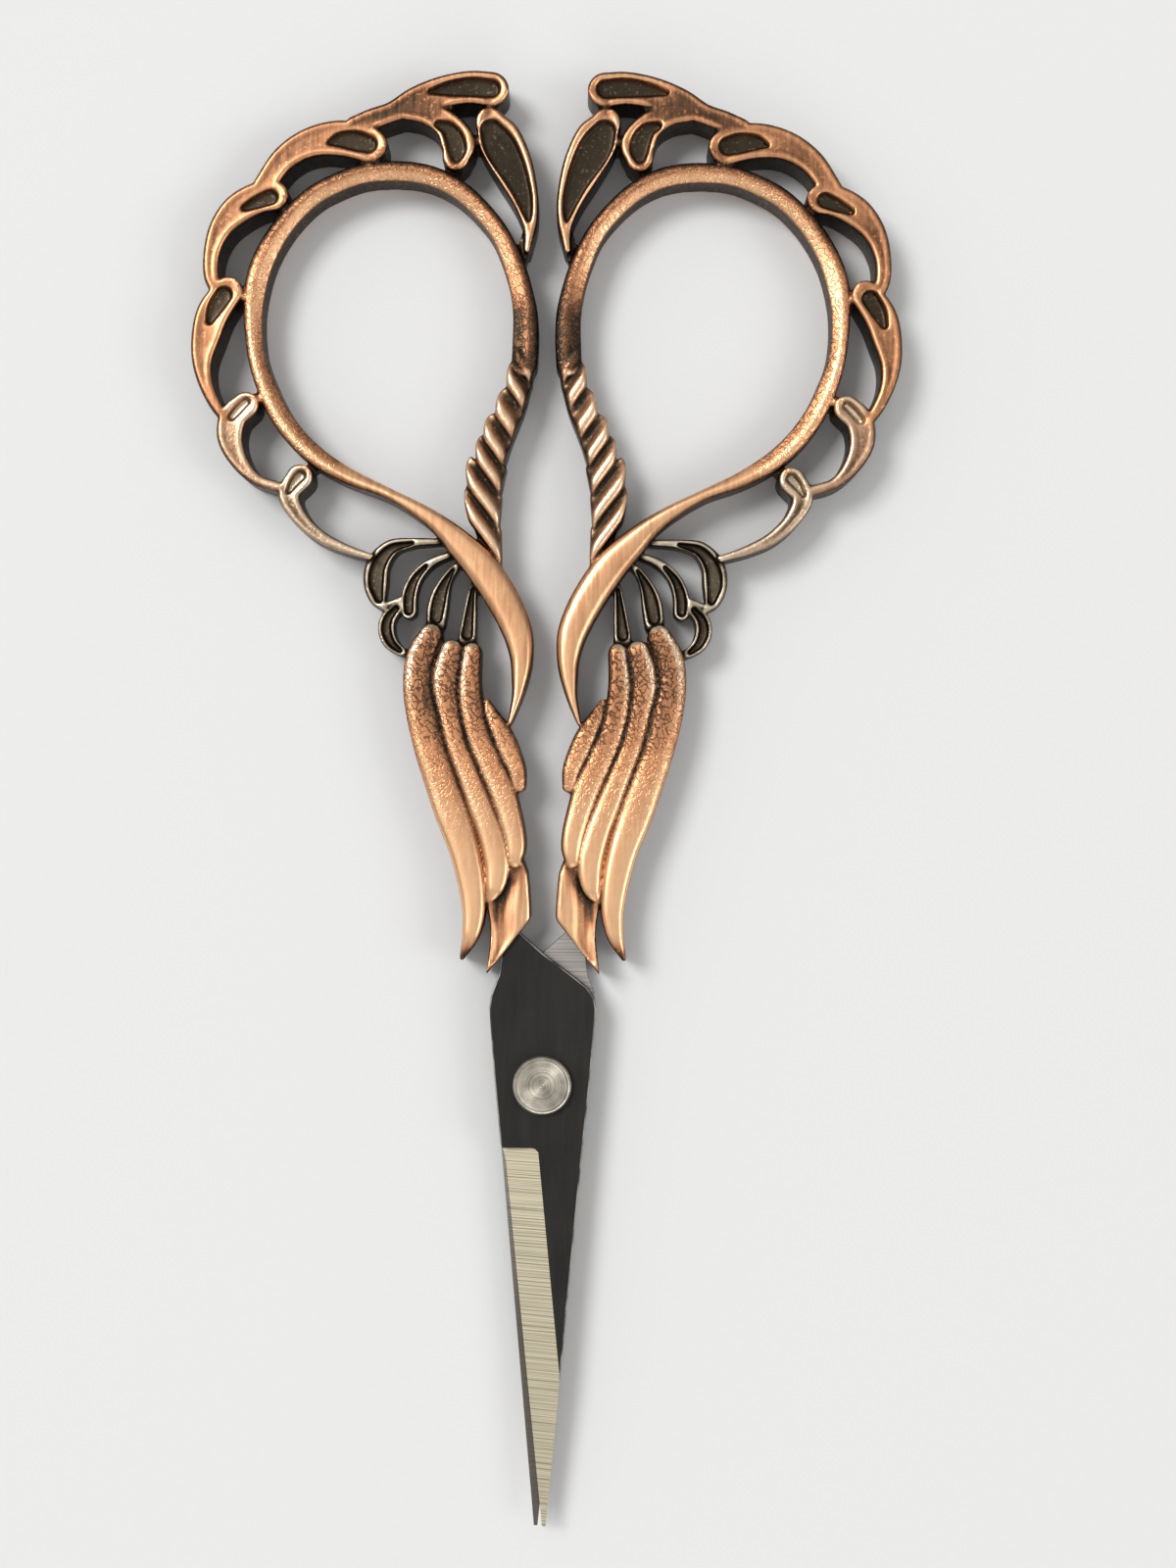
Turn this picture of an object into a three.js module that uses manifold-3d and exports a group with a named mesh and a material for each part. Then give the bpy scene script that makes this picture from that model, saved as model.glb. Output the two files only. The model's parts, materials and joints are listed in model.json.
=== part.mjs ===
// Embroidery scissors: two equal halves on one rivet, each a steel blade with its tang in a cast handle.
import * as THREE from 'three';
import { mergeVertices } from 'three/addons/utils/BufferGeometryUtils.js';
import Module from 'manifold-3d';

const wasm = await Module();
wasm.setup();

// All sizes are millimetres. The front half is drawn with the pivot axis at the origin, the bows towards +Y
// and the mid plane between the blades at z = 0. The rear half is the same half turned over about Y.

// Handle heights, over both sides
const HANDLE_THICKNESS = 4.4;
const RING_THICKNESS = 4.0;
const RING_EDGE_THICKNESS = 2.2;
const PETAL_THICKNESS = 3.0;
const FEATHER_EDGE_THICKNESS = 2.6;
const ROPE_THICKNESS = 4.0;
const ROPE_GROOVE_THICKNESS = 2.4;
const WEB_THICKNESS = 2.4;
const BOLSTER_THICKNESS = 3.8;

// Finger bow: its width over the ring's centre line
const BOW_WIDTH = 22.95;

// Handle details: the crest shares are the flat part of a section's width
const EDGE_SOFTENING = 0.35;
const RING_CREST_SHARE = 0.45;
const PETAL_EDGE_THICKNESS = 2.1;
const PETAL_CREST_SHARE = 0.7;
const FEATHER_CREST_SHARE = 0.4;
const CELL_DEPTH = 0.7;
const PETAL_CELL_DEPTH = 0.5;
const ROPE_RIDGES = 7;
const ROPE_SLANT = 42;
const ROPE_EDGE_THICKNESS = 1.7;
const ROPE_CREST_SHARE = 0.6;
const ROPE_GROOVE_WAIST = 0.86;

// Blade
const BLADE_THICKNESS = 1.2;
const BLADE_REACH = 38;
const TIP_OFFSET = 0.35;
const TIP_WIDTH = 0.3;
const HEEL_DISTANCE = 5.4;
const HEEL_HALF_WIDTH = 3.5;
const EDGE_SETBACK = 0.4;
const BEVEL_WIDTH = 2.75;
const EDGE_LAND = 0.15;
const PIVOT_HALF_WIDTH = 4.05;
const SHOULDER_HALF_WIDTH = 4.55;
const SHOULDER_DISTANCE = 6.6;
const CORNER_CUT_WIDTH = 0.8;
const CORNER_CUT_LENGTH = 1.7;
const ROOT_DISTANCE = 12.9;
const ROOT_OFFSET = -1.9;
const HEEL_RUN = 1.2;

// Tang and its socket
const TANG_WIDTH = 1.9;
const TANG_START_OFFSET = -2.75;
const TANG_START_DISTANCE = 9.4;
const TANG_END_OFFSET = -3.2;
const TANG_END_DISTANCE = 22;
const SOCKET_CLEARANCE = 0.2;

// Rivet
const HEAD_RADIUS = 2.55;
const HEAD_HEIGHT = 0.75;
const HEAD_CHAMFER = 0.35;
const SHANK_RADIUS = 1.4;
const CAP_RADIUS = 2.4;
const CAP_HEIGHT = 0.7;
const CAP_FLOOR = 0.3;
const CAP_CHAMFER = 0.25;

// Clearances
const SLIDING_GAP = 0.1;
const RIVET_GAP = 0.1;
const BORE_CLEARANCE = 0.1;
const RIVET_SIDES = 32;

// A stroke is a list of stations [x, y, width] along a centre line, with rounded ends.

// Finger bow, running on as the ribbon down to the feathers
const RING_AND_RIBBON = [
  [-1.9, 61.5, 2.2], [-1.8, 65.0, 2.15], [-2.75, 69.5, 1.7], [-5.85, 74.5, 1.4], [-10.0, 77.2, 1.45],
  [-15.7, 77.35, 1.4], [-19.7, 75.6, 1.4], [-23.0, 71.9, 1.7], [-24.6, 68.0, 1.85], [-24.75, 64.0, 1.45],
  [-23.9, 59.8, 1.5], [-21.4, 55.3, 1.6], [-16.75, 51.8, 1.3], [-10.8, 48.9, 1.3], [-7.4, 46.2, 2.3],
  [-4.1, 42.2, 2.85], [-2.3, 38.4, 2.5], [-2.05, 35.0, 1.6], [-2.95, 30.9, 0.4],
];

// Twisted bar between the bow and the ribbon
const ROPE = [
  [-1.9, 62.4, 2.2], [-3.1, 58.0, 2.7], [-4.65, 54.2, 2.9], [-5.4, 50.0, 3.05], [-5.3, 47.2, 2.9],
  [-4.6, 45.2, 2.4],
];

// Scroll border, from the leaf at the top down to the last scroll
const SCROLLS = [
  [[-2.5, 69.5, 0.6], [-2.1, 70.6, 0.6], [-1.82, 73.5, 1.4], [-1.9, 75.4, 2.1], [-3.0, 78.3, 3.45],
    [-4.25, 80.8, 3.6], [-4.9, 81.9, 2.6]],
  [[-16.5, 81.6, 1.2], [-13.3, 82.75, 1.2], [-11.3, 83.6, 2.3], [-9.0, 84.75, 2.2], [-4.85, 84.85, 2.9]],
  [[-12.3, 82.7, 1.3], [-10.2, 82.1, 1.9], [-8.4, 81.2, 2.4], [-7.65, 80.0, 3.0], [-7.8, 79.0, 2.4]],
  [[-23.9, 76.9, 1.6], [-22.45, 78.8, 2.0], [-20.3, 80.1, 2.55], [-17.6, 80.5, 3.1], [-15.2, 80.0, 3.1]],
  [[-28.2, 67.5, 0.9], [-28.7, 68.5, 1.0], [-28.67, 70.6, 1.2], [-27.85, 72.8, 1.9], [-26.4, 74.4, 2.6],
    [-23.35, 75.6, 2.6]],
  [[-27.2, 56.6, 0.9], [-28.0, 57.5, 1.0], [-29.0, 59.6, 1.25], [-29.3, 61.6, 1.8], [-28.4, 65.6, 2.8], [-27.2, 67.4, 2.6]],
  [[-22.8, 50.8, 0.9], [-24.6, 51.4, 1.0], [-26.05, 52.9, 1.5], [-26.9, 55.0, 2.2], [-25.6, 57.75, 2.3]],
  [[-14.2, 44.7, 0.5], [-15.0, 44.95, 0.55], [-17.3, 45.7, 0.85], [-19.4, 46.75, 1.15], [-21.1, 48.45, 1.4],
    [-21.85, 50.2, 1.9], [-20.95, 51.6, 2.3]],
];

// Low webs that tie the scrolls to the bow and to each other
const WEBS = [
  [[-15.0, 79.4, 1.0], [-15.0, 77.4, 1.0]],
  [[-8.1, 78.8, 0.9], [-8.6, 76.8, 0.9]],
  [[-23.0, 75.3, 0.9], [-21.6, 73.8, 0.9]],
  [[-26.8, 67.2, 0.9], [-24.9, 67.2, 0.9]],
  [[-25.4, 58.1, 0.8], [-23.6, 58.3, 0.8]],
  [[-20.8, 51.8, 0.9], [-19.3, 53.2, 0.9]],
  [[-4.7, 84.3, 0.9], [-4.7, 82.3, 0.9]],
  [[-7.4, 80.2, 0.8], [-5.2, 80.4, 0.8]],
];

// Recessed cells in the scrolls
const SCROLL_CELLS = [
  [[-2.2, 74.2, 0.6], [-2.35, 75.3, 1.25], [-3.0, 77.7, 2.2], [-4.1, 79.9, 2.6], [-4.8, 81.2, 1.8]],
  [[-9.8, 84.55, 0.6], [-8.5, 84.75, 1.15], [-4.85, 84.8, 1.5]],
  [[-9.1, 81.65, 0.8], [-7.95, 80.5, 1.5], [-7.75, 79.3, 1.3]],
  [[-18.4, 80.15, 0.6], [-16.9, 80.3, 1.5], [-15.3, 80.0, 1.5]],
  [[-25.6, 74.6, 0.6], [-23.6, 75.45, 1.2]],
  [[-28.6, 65.0, 0.7], [-27.5, 67.1, 1.3]],
  [[-26.6, 56.9, 0.65], [-25.7, 57.85, 0.7]],
  [[-21.75, 50.6, 0.5], [-20.95, 51.65, 0.85]],
];

// Fan of petals under the ribbon
const PETALS = [
  [[-8.6, 46.3, 0.6], [-11.5, 46.2, 0.85], [-13.2, 45.75, 1.45], [-14.5, 43.5, 2.1], [-13.8, 40.7, 0.9]],
  [[-7.9, 45.3, 0.5], [-9.7, 44.55, 0.8], [-11.0, 43.3, 1.1], [-11.65, 40.4, 1.4]],
  [[-7.2, 44.7, 0.5], [-8.35, 43.2, 0.9], [-9.35, 39.3, 1.75]],
  [[-6.0, 43.2, 0.5], [-6.3, 41.5, 0.85], [-6.65, 37.8, 1.6]],
  [[-12.3, 41.2, 0.9], [-13.4, 39.9, 1.3], [-13.5, 38.6, 1.4], [-11.5, 36.6, 0.8]],
];
const PETAL_CELLS = [
  [[-12.6, 45.8, 0.4], [-14.1, 44.3, 0.9], [-14.2, 41.7, 0.5]],
  [[-10.9, 43.6, 0.3], [-11.65, 40.5, 0.6]],
  [[-8.4, 43.2, 0.3], [-9.25, 40.4, 0.9]],
  [[-6.4, 41.3, 0.3], [-6.7, 38.9, 0.7]],
];

// Tie between the two outer petals
const PETAL_TIES = [
  [[-14.0, 41.3, 0.7], [-11.6, 41.3, 0.7]],
];

// Feathers of the shank, from the outside in
const FEATHERS = [
  [[-9.75, 38.3, 2.0], [-10.85, 34.0, 2.45], [-9.75, 28.7, 2.7], [-7.9, 23.3, 2.9], [-6.1, 17.0, 2.3],
    [-6.0, 13.6, 1.7], [-6.9, 10.9, 0.5]],
  [[-7.95, 37.0, 1.9], [-8.5, 33.8, 2.2], [-7.45, 29.0, 1.85], [-5.5, 24.0, 2.1], [-3.97, 19.0, 2.2],
    [-4.4, 15.8, 0.9]],
  [[-6.2, 36.9, 1.6], [-6.4, 34.5, 1.9], [-5.75, 30.1, 2.1], [-3.65, 25.3, 2.3], [-2.5, 21.4, 1.8],
    [-2.55, 18.9, 0.6]],
  [[-4.95, 32.7, 0.6], [-3.6, 29.9, 1.75], [-2.3, 26.8, 1.5], [-2.2, 24.9, 0.5]],
];

// Low webs that close the grooves between the feathers
const FEATHER_WEBS = [
  [[-9.2, 37.2, 1.6], [-9.65, 33.8, 1.6], [-8.6, 28.8, 1.6], [-6.6, 23.4, 1.6], [-5.0, 17.6, 1.6]],
  [[-7.1, 36.8, 1.4], [-7.4, 33.8, 1.4], [-6.6, 29.4, 1.4], [-4.6, 24.4, 1.4], [-3.2, 20.0, 1.4]],
  [[-5.2, 31.8, 1.0], [-4.2, 28.9, 1.4], [-2.9, 26.2, 1.0]],
];

// Bolster that the blade enters, its mouth cut slantwise across the blade
const BOLSTER_MOUTH_INNER = [-1.05, 14.2];
const BOLSTER_MOUTH_OUTER = [-4.85, 9.4];
const BOLSTER_OUTLINE = [
  BOLSTER_MOUTH_OUTER, BOLSTER_MOUTH_INNER, [-1.2, 17.0], [-1.5, 18.7], [-2.6, 21.0], [-5.2, 21.0],
  [-4.8, 15.5], [-4.5, 12.6],
];

// Spacing of the sections along a stroke, and the turns of its rounded ends
const STEP_LENGTH = 2.1;
const END_TURNS = [45, 82].map(THREE.MathUtils.degToRad);
const PLAIN_END_TURNS = [60].map(THREE.MathUtils.degToRad);
const CUT_MARGIN = 2;

// Section that is flat on top and below, with softened edges
function flatSection(thickness) {
  const half = thickness / 2;
  return (halfWidth) => {
    const soft = Math.min(EDGE_SOFTENING, halfWidth * 0.45);
    const side = [[halfWidth, half - soft], [halfWidth - soft, half]];
    return mirroredSection(side);
  };
}

// Section that rises from its edges to a narrow crest
function crestSection(thickness, edgeThickness, crestShare) {
  return (halfWidth) => {
    const side = [[halfWidth, edgeThickness / 2], [halfWidth * crestShare, thickness / 2]];
    return mirroredSection(side);
  };
}

// Section with upright sides between two heights
function uprightSection(bottom, top) {
  return (halfWidth) => [[halfWidth, bottom], [halfWidth, top], [-halfWidth, top], [-halfWidth, bottom]];
}

// A whole section, counterclockwise, from its upper right quarter
function mirroredSection(quarter) {
  const upper = quarter.concat([...quarter].reverse().map(([x, z]) => [-x, z]));
  const lower = [...upper].reverse().map(([x, z]) => [x, -z]);
  return upper.concat(lower);
}

// One section ring across a centre line
function ringAt(centre, along, halfWidth, section) {
  const across = new THREE.Vector2(-along.y, along.x);
  return section(halfWidth).map(([x, z]) => (
    new THREE.Vector3(centre.x + across.x * x, centre.y + across.y * x, z)
  ));
}

// Solid through a row of equal section rings
function loft(rings) {
  const count = rings[0].length;
  const last = (rings.length - 1) * count;
  const index = [];
  for (let ring = 0; ring < last; ring += count) {
    for (let k = 0; k < count; k += 1) {
      const next = (k + 1) % count;
      index.push(ring + k, ring + next, ring + count + k);
      index.push(ring + next, ring + count + next, ring + count + k);
    }
  }
  for (let k = 1; k + 1 < count; k += 1) {
    index.push(0, k + 1, k);
    index.push(last, last + k, last + k + 1);
  }
  const geometry = new THREE.BufferGeometry().setFromPoints(rings.flat());
  geometry.setIndex(index);
  return solidOf(geometry);
}

const ringOffsets = RING_AND_RIBBON.map(([x]) => x);
const bowInside = Math.max(...ringOffsets);
const bowOutside = Math.min(...ringOffsets);
const bowSpread = BOW_WIDTH / (bowInside - bowOutside);
const petalTop = Math.max(...PETALS.flat().map(([, y]) => y));
const bowWidest = RING_AND_RIBBON.find(([x]) => x === bowOutside)[1];

// Curve through the stations of a stroke, spread above the petals from the inside of the bow to its width
function centreLine(stroke) {
  const points = stroke.map(([x, y, width]) => {
    const share = THREE.MathUtils.smoothstep(y, petalTop, bowWidest);
    const spread = THREE.MathUtils.lerp(1, bowSpread, share);
    return new THREE.Vector3(bowInside + (x - bowInside) * spread, y, width / 2);
  });
  return new THREE.CatmullRomCurve3(points, false, 'centripetal');
}

// Evenly spaced stations of a stroke with the direction of its centre line
function stationsOf(stroke) {
  const curve = centreLine(stroke);
  const steps = Math.max(stroke.length - 1, Math.round(curve.getLength() / STEP_LENGTH));
  const samples = curve.getSpacedPoints(steps);
  return samples.map((sample, i) => {
    const before = samples[Math.max(i - 1, 0)];
    const after = samples[Math.min(i + 1, steps)];
    const along = new THREE.Vector2(after.x - before.x, after.y - before.y).normalize();
    return { centre: new THREE.Vector2(sample.x, sample.y), halfWidth: sample.z, along };
  });
}

// Solid of a stroke with rounded ends
function strokeSolid(stroke, section, endTurns = END_TURNS) {
  const stations = stationsOf(stroke);
  const roundEnd = ({ centre, halfWidth, along }, side) => endTurns.map((turn) => {
    const moved = centre.clone().addScaledVector(along, side * halfWidth * Math.sin(turn));
    return ringAt(moved, along, halfWidth * Math.cos(turn), section);
  });
  const rings = stations.map(({ centre, halfWidth, along }) => ringAt(centre, along, halfWidth, section));
  return loft([...roundEnd(stations[0], -1).reverse(), ...rings, ...roundEnd(stations.at(-1), 1)]);
}

// Twisted bar: slanting sections that rise and fall from ridge to ridge
function ropeSolid(stroke) {
  const curve = centreLine(stroke);
  const steps = ROPE_RIDGES * 3;
  const slant = THREE.MathUtils.degToRad(ROPE_SLANT);
  const rings = curve.getSpacedPoints(steps).map((point, i) => {
    const tangent = curve.getTangentAt(i / steps);
    const along = new THREE.Vector2(tangent.x, tangent.y).normalize().rotateAround(new THREE.Vector2(), slant);
    const groove = i % 3 === 0;
    const halfWidth = point.z / Math.cos(slant) * (groove ? ROPE_GROOVE_WAIST : 1);
    const height = groove ? ROPE_GROOVE_THICKNESS : ROPE_THICKNESS;
    return ringAt(point, along, halfWidth, crestSection(height, ROPE_EDGE_THICKNESS, ROPE_CREST_SHARE));
  });
  return loft(rings);
}

// Closed solid from a geometry
function solidOf(geometry) {
  const bare = geometry.clone();
  bare.deleteAttribute('normal');
  bare.deleteAttribute('uv');
  const merged = mergeVertices(bare, 1e-5);
  const mesh = new wasm.Mesh({
    numProp: 3,
    vertProperties: new Float32Array(merged.attributes.position.array),
    triVerts: new Uint32Array(merged.index.array),
  });
  return new wasm.Manifold(mesh);
}

// Named mesh from a closed solid
function meshOf(name, solid, material) {
  const { vertProperties, triVerts } = solid.getMesh();
  const geometry = new THREE.BufferGeometry();
  geometry.setAttribute('position', new THREE.BufferAttribute(vertProperties, 3));
  geometry.setIndex(new THREE.BufferAttribute(triVerts, 1));
  geometry.computeVertexNormals();
  const mesh = new THREE.Mesh(geometry, material);
  mesh.name = name;
  return mesh;
}

// Upright prism over an outline
function prism(outline, bottom, top) {
  const shape = new THREE.Shape(outline.map(([x, y]) => new THREE.Vector2(x, y)));
  const geometry = new THREE.ExtrudeGeometry(shape, { depth: top - bottom, bevelEnabled: false });
  return solidOf(geometry.translate(0, 0, bottom));
}

// Turned solid about the pivot axis from a closed profile of [radius, z]
function turned(profile) {
  const points = profile.map(([radius, z]) => new THREE.Vector2(radius, z));
  const geometry = new THREE.LatheGeometry(points, RIVET_SIDES);
  return solidOf(geometry.rotateX(Math.PI / 2));
}

const bladeBottom = SLIDING_GAP / 2;
const bladeTop = bladeBottom + BLADE_THICKNESS;
const headBottom = bladeTop + RIVET_GAP;
const capTop = -headBottom;
const capBottom = capTop - CAP_HEIGHT;
const boreRadius = SHANK_RADIUS + BORE_CLEARANCE;

// Tang along the bolster, grown by a clearance for its socket
function tangOutline(growth) {
  const half = TANG_WIDTH / 2 + growth;
  const start = TANG_START_DISTANCE - growth;
  const end = TANG_END_DISTANCE + growth;
  return [
    [TANG_START_OFFSET - half, start],
    [TANG_START_OFFSET + half, start],
    [TANG_END_OFFSET + half, end],
    [TANG_END_OFFSET - half, end],
  ];
}

// Blade with its ground bevel, its bore and its tang
function bladeSolid() {
  const outline = [
    [TIP_OFFSET - TIP_WIDTH / 2, -BLADE_REACH],
    [TIP_OFFSET + TIP_WIDTH / 2, -BLADE_REACH],
    [HEEL_HALF_WIDTH, -HEEL_DISTANCE],
    [PIVOT_HALF_WIDTH, 0],
    [SHOULDER_HALF_WIDTH, SHOULDER_DISTANCE],
    [SHOULDER_HALF_WIDTH - CORNER_CUT_WIDTH, SHOULDER_DISTANCE + CORNER_CUT_LENGTH],
    [ROOT_OFFSET, ROOT_DISTANCE],
    [TANG_START_OFFSET - TANG_WIDTH / 2, ROOT_DISTANCE],
    [TANG_START_OFFSET - TANG_WIDTH / 2, TANG_START_DISTANCE],
    [-SHOULDER_HALF_WIDTH, SHOULDER_DISTANCE],
    [-PIVOT_HALF_WIDTH, 0],
    [-HEEL_HALF_WIDTH, -HEEL_DISTANCE],
    [-HEEL_HALF_WIDTH + EDGE_SETBACK, -HEEL_DISTANCE - HEEL_RUN],
  ];
  const plate = prism(outline, bladeBottom, bladeTop);
  const tang = prism(tangOutline(0), bladeBottom, bladeTop);
  const boreBottom = bladeBottom - CUT_MARGIN;
  const boreTop = bladeTop + CUT_MARGIN;
  const bore = turned([[0, boreBottom], [boreRadius, boreBottom], [boreRadius, boreTop], [0, boreTop]]);
  return plate.add(tang).subtract(bevelCutter()).subtract(bore);
}

// Everything above the plane of the ground bevel, from the heel to past the tip
function bevelCutter() {
  const edgeStart = new THREE.Vector2(-HEEL_HALF_WIDTH + EDGE_SETBACK, -HEEL_DISTANCE);
  const edgeEnd = new THREE.Vector2(TIP_OFFSET - TIP_WIDTH / 2, -BLADE_REACH);
  const along = edgeEnd.clone().sub(edgeStart).normalize();
  const rise = (BLADE_THICKNESS - EDGE_LAND) / BEVEL_WIDTH;
  const reach = edgeEnd.distanceTo(edgeStart) + CUT_MARGIN;
  const heightAt = (distance) => bladeBottom + EDGE_LAND + rise * distance;
  const inside = BEVEL_WIDTH + CUT_MARGIN;
  const section = () => [
    [-CUT_MARGIN, heightAt(-CUT_MARGIN)],
    [inside, heightAt(inside)],
    [-CUT_MARGIN, heightAt(inside)],
  ];
  const end = edgeStart.clone().addScaledVector(along, reach);
  return loft([ringAt(edgeStart, along, 1, section), ringAt(end, along, 1, section)]);
}

// Handle casting with its cells on both faces and the socket for the tang
function handleSolid() {
  const flat = flatSection(HANDLE_THICKNESS);
  const round = crestSection(RING_THICKNESS, RING_EDGE_THICKNESS, RING_CREST_SHARE);
  const petal = crestSection(PETAL_THICKNESS, PETAL_EDGE_THICKNESS, PETAL_CREST_SHARE);
  const feather = crestSection(HANDLE_THICKNESS, FEATHER_EDGE_THICKNESS, FEATHER_CREST_SHARE);
  const web = uprightSection(-WEB_THICKNESS / 2, WEB_THICKNESS / 2);
  const solids = [
    strokeSolid(RING_AND_RIBBON, round),
    ropeSolid(ROPE),
    prism(BOLSTER_OUTLINE, -BOLSTER_THICKNESS / 2, BOLSTER_THICKNESS / 2),
    ...SCROLLS.map((stroke) => strokeSolid(stroke, flat)),
    ...PETALS.map((stroke) => strokeSolid(stroke, petal)),
    ...FEATHERS.map((stroke) => strokeSolid(stroke, feather)),
    ...[...WEBS, ...PETAL_TIES, ...FEATHER_WEBS].map((stroke) => strokeSolid(stroke, web, PLAIN_END_TURNS)),
  ];
  const body = solids.reduce((whole, solid) => whole.add(solid));
  const cells = [
    ...recesses(SCROLL_CELLS, HANDLE_THICKNESS, CELL_DEPTH),
    ...recesses(PETAL_CELLS, PETAL_THICKNESS, PETAL_CELL_DEPTH),
  ];
  const socket = prism(tangOutline(SOCKET_CLEARANCE), bladeBottom - SOCKET_CLEARANCE,
    bladeTop + SOCKET_CLEARANCE);
  return [...cells, socket].reduce((whole, cutter) => whole.subtract(cutter), body);
}

// Cutters for cells of one depth on both faces
function recesses(strokes, thickness, depth) {
  const floor = thickness / 2 - depth;
  const outside = HANDLE_THICKNESS;
  const upper = uprightSection(floor, outside);
  const lower = uprightSection(-outside, -floor);
  return strokes.flatMap((stroke) => [
    strokeSolid(stroke, upper, PLAIN_END_TURNS),
    strokeSolid(stroke, lower, PLAIN_END_TURNS),
  ]);
}

// Rivet head and shank
function rivetSolid() {
  const headTop = headBottom + HEAD_HEIGHT;
  const shankEnd = capBottom + CAP_FLOOR + RIVET_GAP;
  return turned([[0, shankEnd], [SHANK_RADIUS, shankEnd], [SHANK_RADIUS, headBottom], [HEAD_RADIUS, headBottom],
    [HEAD_RADIUS, headTop - HEAD_CHAMFER], [HEAD_RADIUS - HEAD_CHAMFER, headTop], [0, headTop]]);
}

// Cap with a blind hole over the end of the shank
function capSolid() {
  return turned([[0, capBottom], [CAP_RADIUS - CAP_CHAMFER, capBottom], [CAP_RADIUS, capBottom + CAP_CHAMFER],
    [CAP_RADIUS, capTop], [boreRadius, capTop], [boreRadius, capBottom + CAP_FLOOR], [0, capBottom + CAP_FLOOR]]);
}

const copper = new THREE.MeshStandardMaterial({ color: 0xb0764c, roughness: 0.4, metalness: 1 });
const blackSteel = new THREE.MeshStandardMaterial({ color: 0x2b2b2a, roughness: 0.5, metalness: 0.6 });
const brightSteel = new THREE.MeshStandardMaterial({ color: 0xb9b4ac, roughness: 0.3, metalness: 1 });

const blade = bladeSolid();
const handle = handleSolid();

const frontHalf = new THREE.Group();
frontHalf.add(meshOf('front_blade', blade, blackSteel), meshOf('left_handle', handle, copper));

const rearHalf = new THREE.Group();
rearHalf.add(meshOf('rear_blade', blade, blackSteel), meshOf('right_handle', handle, copper));
rearHalf.rotation.y = Math.PI;

const pivot = new THREE.Group();
pivot.add(meshOf('pivot_rivet', rivetSolid(), brightSteel), meshOf('rivet_cap', capSolid(), brightSteel));

// The scissors lie flat, with the origin under the middle of their bounding box.
const scissors = new THREE.Group();
scissors.add(frontHalf, rearHalf, pivot);
const bounds = new THREE.Box3().setFromObject(scissors);
const middle = bounds.getCenter(new THREE.Vector3());
scissors.position.set(-middle.x, -middle.y, -bounds.min.z);

const part = new THREE.Group();
part.name = 'embroidery_scissors';
part.add(scissors);

export default part;
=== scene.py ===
"""Embroidery scissors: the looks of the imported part, built in its own frame."""

import json
import logging
import math
from collections.abc import Callable, Sequence
from dataclasses import dataclass, field
from enum import Enum, IntEnum
from typing import ClassVar

import bmesh
import bpy
import numpy as np
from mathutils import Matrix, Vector, kdtree


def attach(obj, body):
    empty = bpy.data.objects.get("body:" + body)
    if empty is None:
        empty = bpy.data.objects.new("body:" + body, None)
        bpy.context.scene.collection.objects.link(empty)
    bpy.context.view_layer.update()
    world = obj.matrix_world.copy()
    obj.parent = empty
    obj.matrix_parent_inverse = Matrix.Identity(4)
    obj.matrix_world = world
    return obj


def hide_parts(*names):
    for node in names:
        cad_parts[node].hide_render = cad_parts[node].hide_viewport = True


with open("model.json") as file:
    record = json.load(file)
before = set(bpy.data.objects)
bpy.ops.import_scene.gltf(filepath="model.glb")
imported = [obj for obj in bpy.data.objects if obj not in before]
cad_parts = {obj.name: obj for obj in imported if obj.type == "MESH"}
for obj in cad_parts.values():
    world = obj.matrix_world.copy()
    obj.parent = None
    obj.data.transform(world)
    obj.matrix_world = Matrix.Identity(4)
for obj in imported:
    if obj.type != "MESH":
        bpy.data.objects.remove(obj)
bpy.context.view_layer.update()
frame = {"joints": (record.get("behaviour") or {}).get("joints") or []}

log = logging.getLogger("embroidery_scissors")

MM = 0.001
PIVOT = tuple(frame["joints"][0]["pos_m"])
SPLINE_STEPS = 24
SECTION_SPACING = 0.3
TINY = 1e-6

Point = tuple[float, float]
Range = tuple[float, float]
Triple = tuple[float, float, float]
Station = Triple
Stop = tuple[float, Triple]
Socket = bpy.types.NodeSocket
Value = bpy.types.NodeSocket | float | tuple
Inputs = dict[str | int, Value]
Profile = Callable[[np.ndarray, float, float], np.ndarray]


class Half(Enum):
    """The two equal halves of the pair, named by how they lie on the table."""

    FRONT = "front_half"
    REAR = "rear_half"


class Wear(IntEnum):
    """Columns of the values that the patina is made from."""

    TONE = 0
    GRAIN = 1
    WORN = 2
    BRUSH = 3
    HOLLOW = 4
    RIM = 5


WEAR_NAMES = {Wear.TONE: "exposure", Wear.GRAIN: "grain", Wear.WORN: "worn", Wear.BRUSH: "brush"}


def smoothstep(bounds: Range, values: np.ndarray) -> np.ndarray:
    """Smooth ramp from 0 to 1.

    Args:
        bounds: Values where the ramp starts and ends.
        values: Values to map.

    Returns:
        The ramp at each value.
    """
    low, high = bounds
    ramp = np.clip((values - low) / (high - low), 0.0, 1.0)
    return ramp * ramp * (3.0 - 2.0 * ramp)


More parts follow.
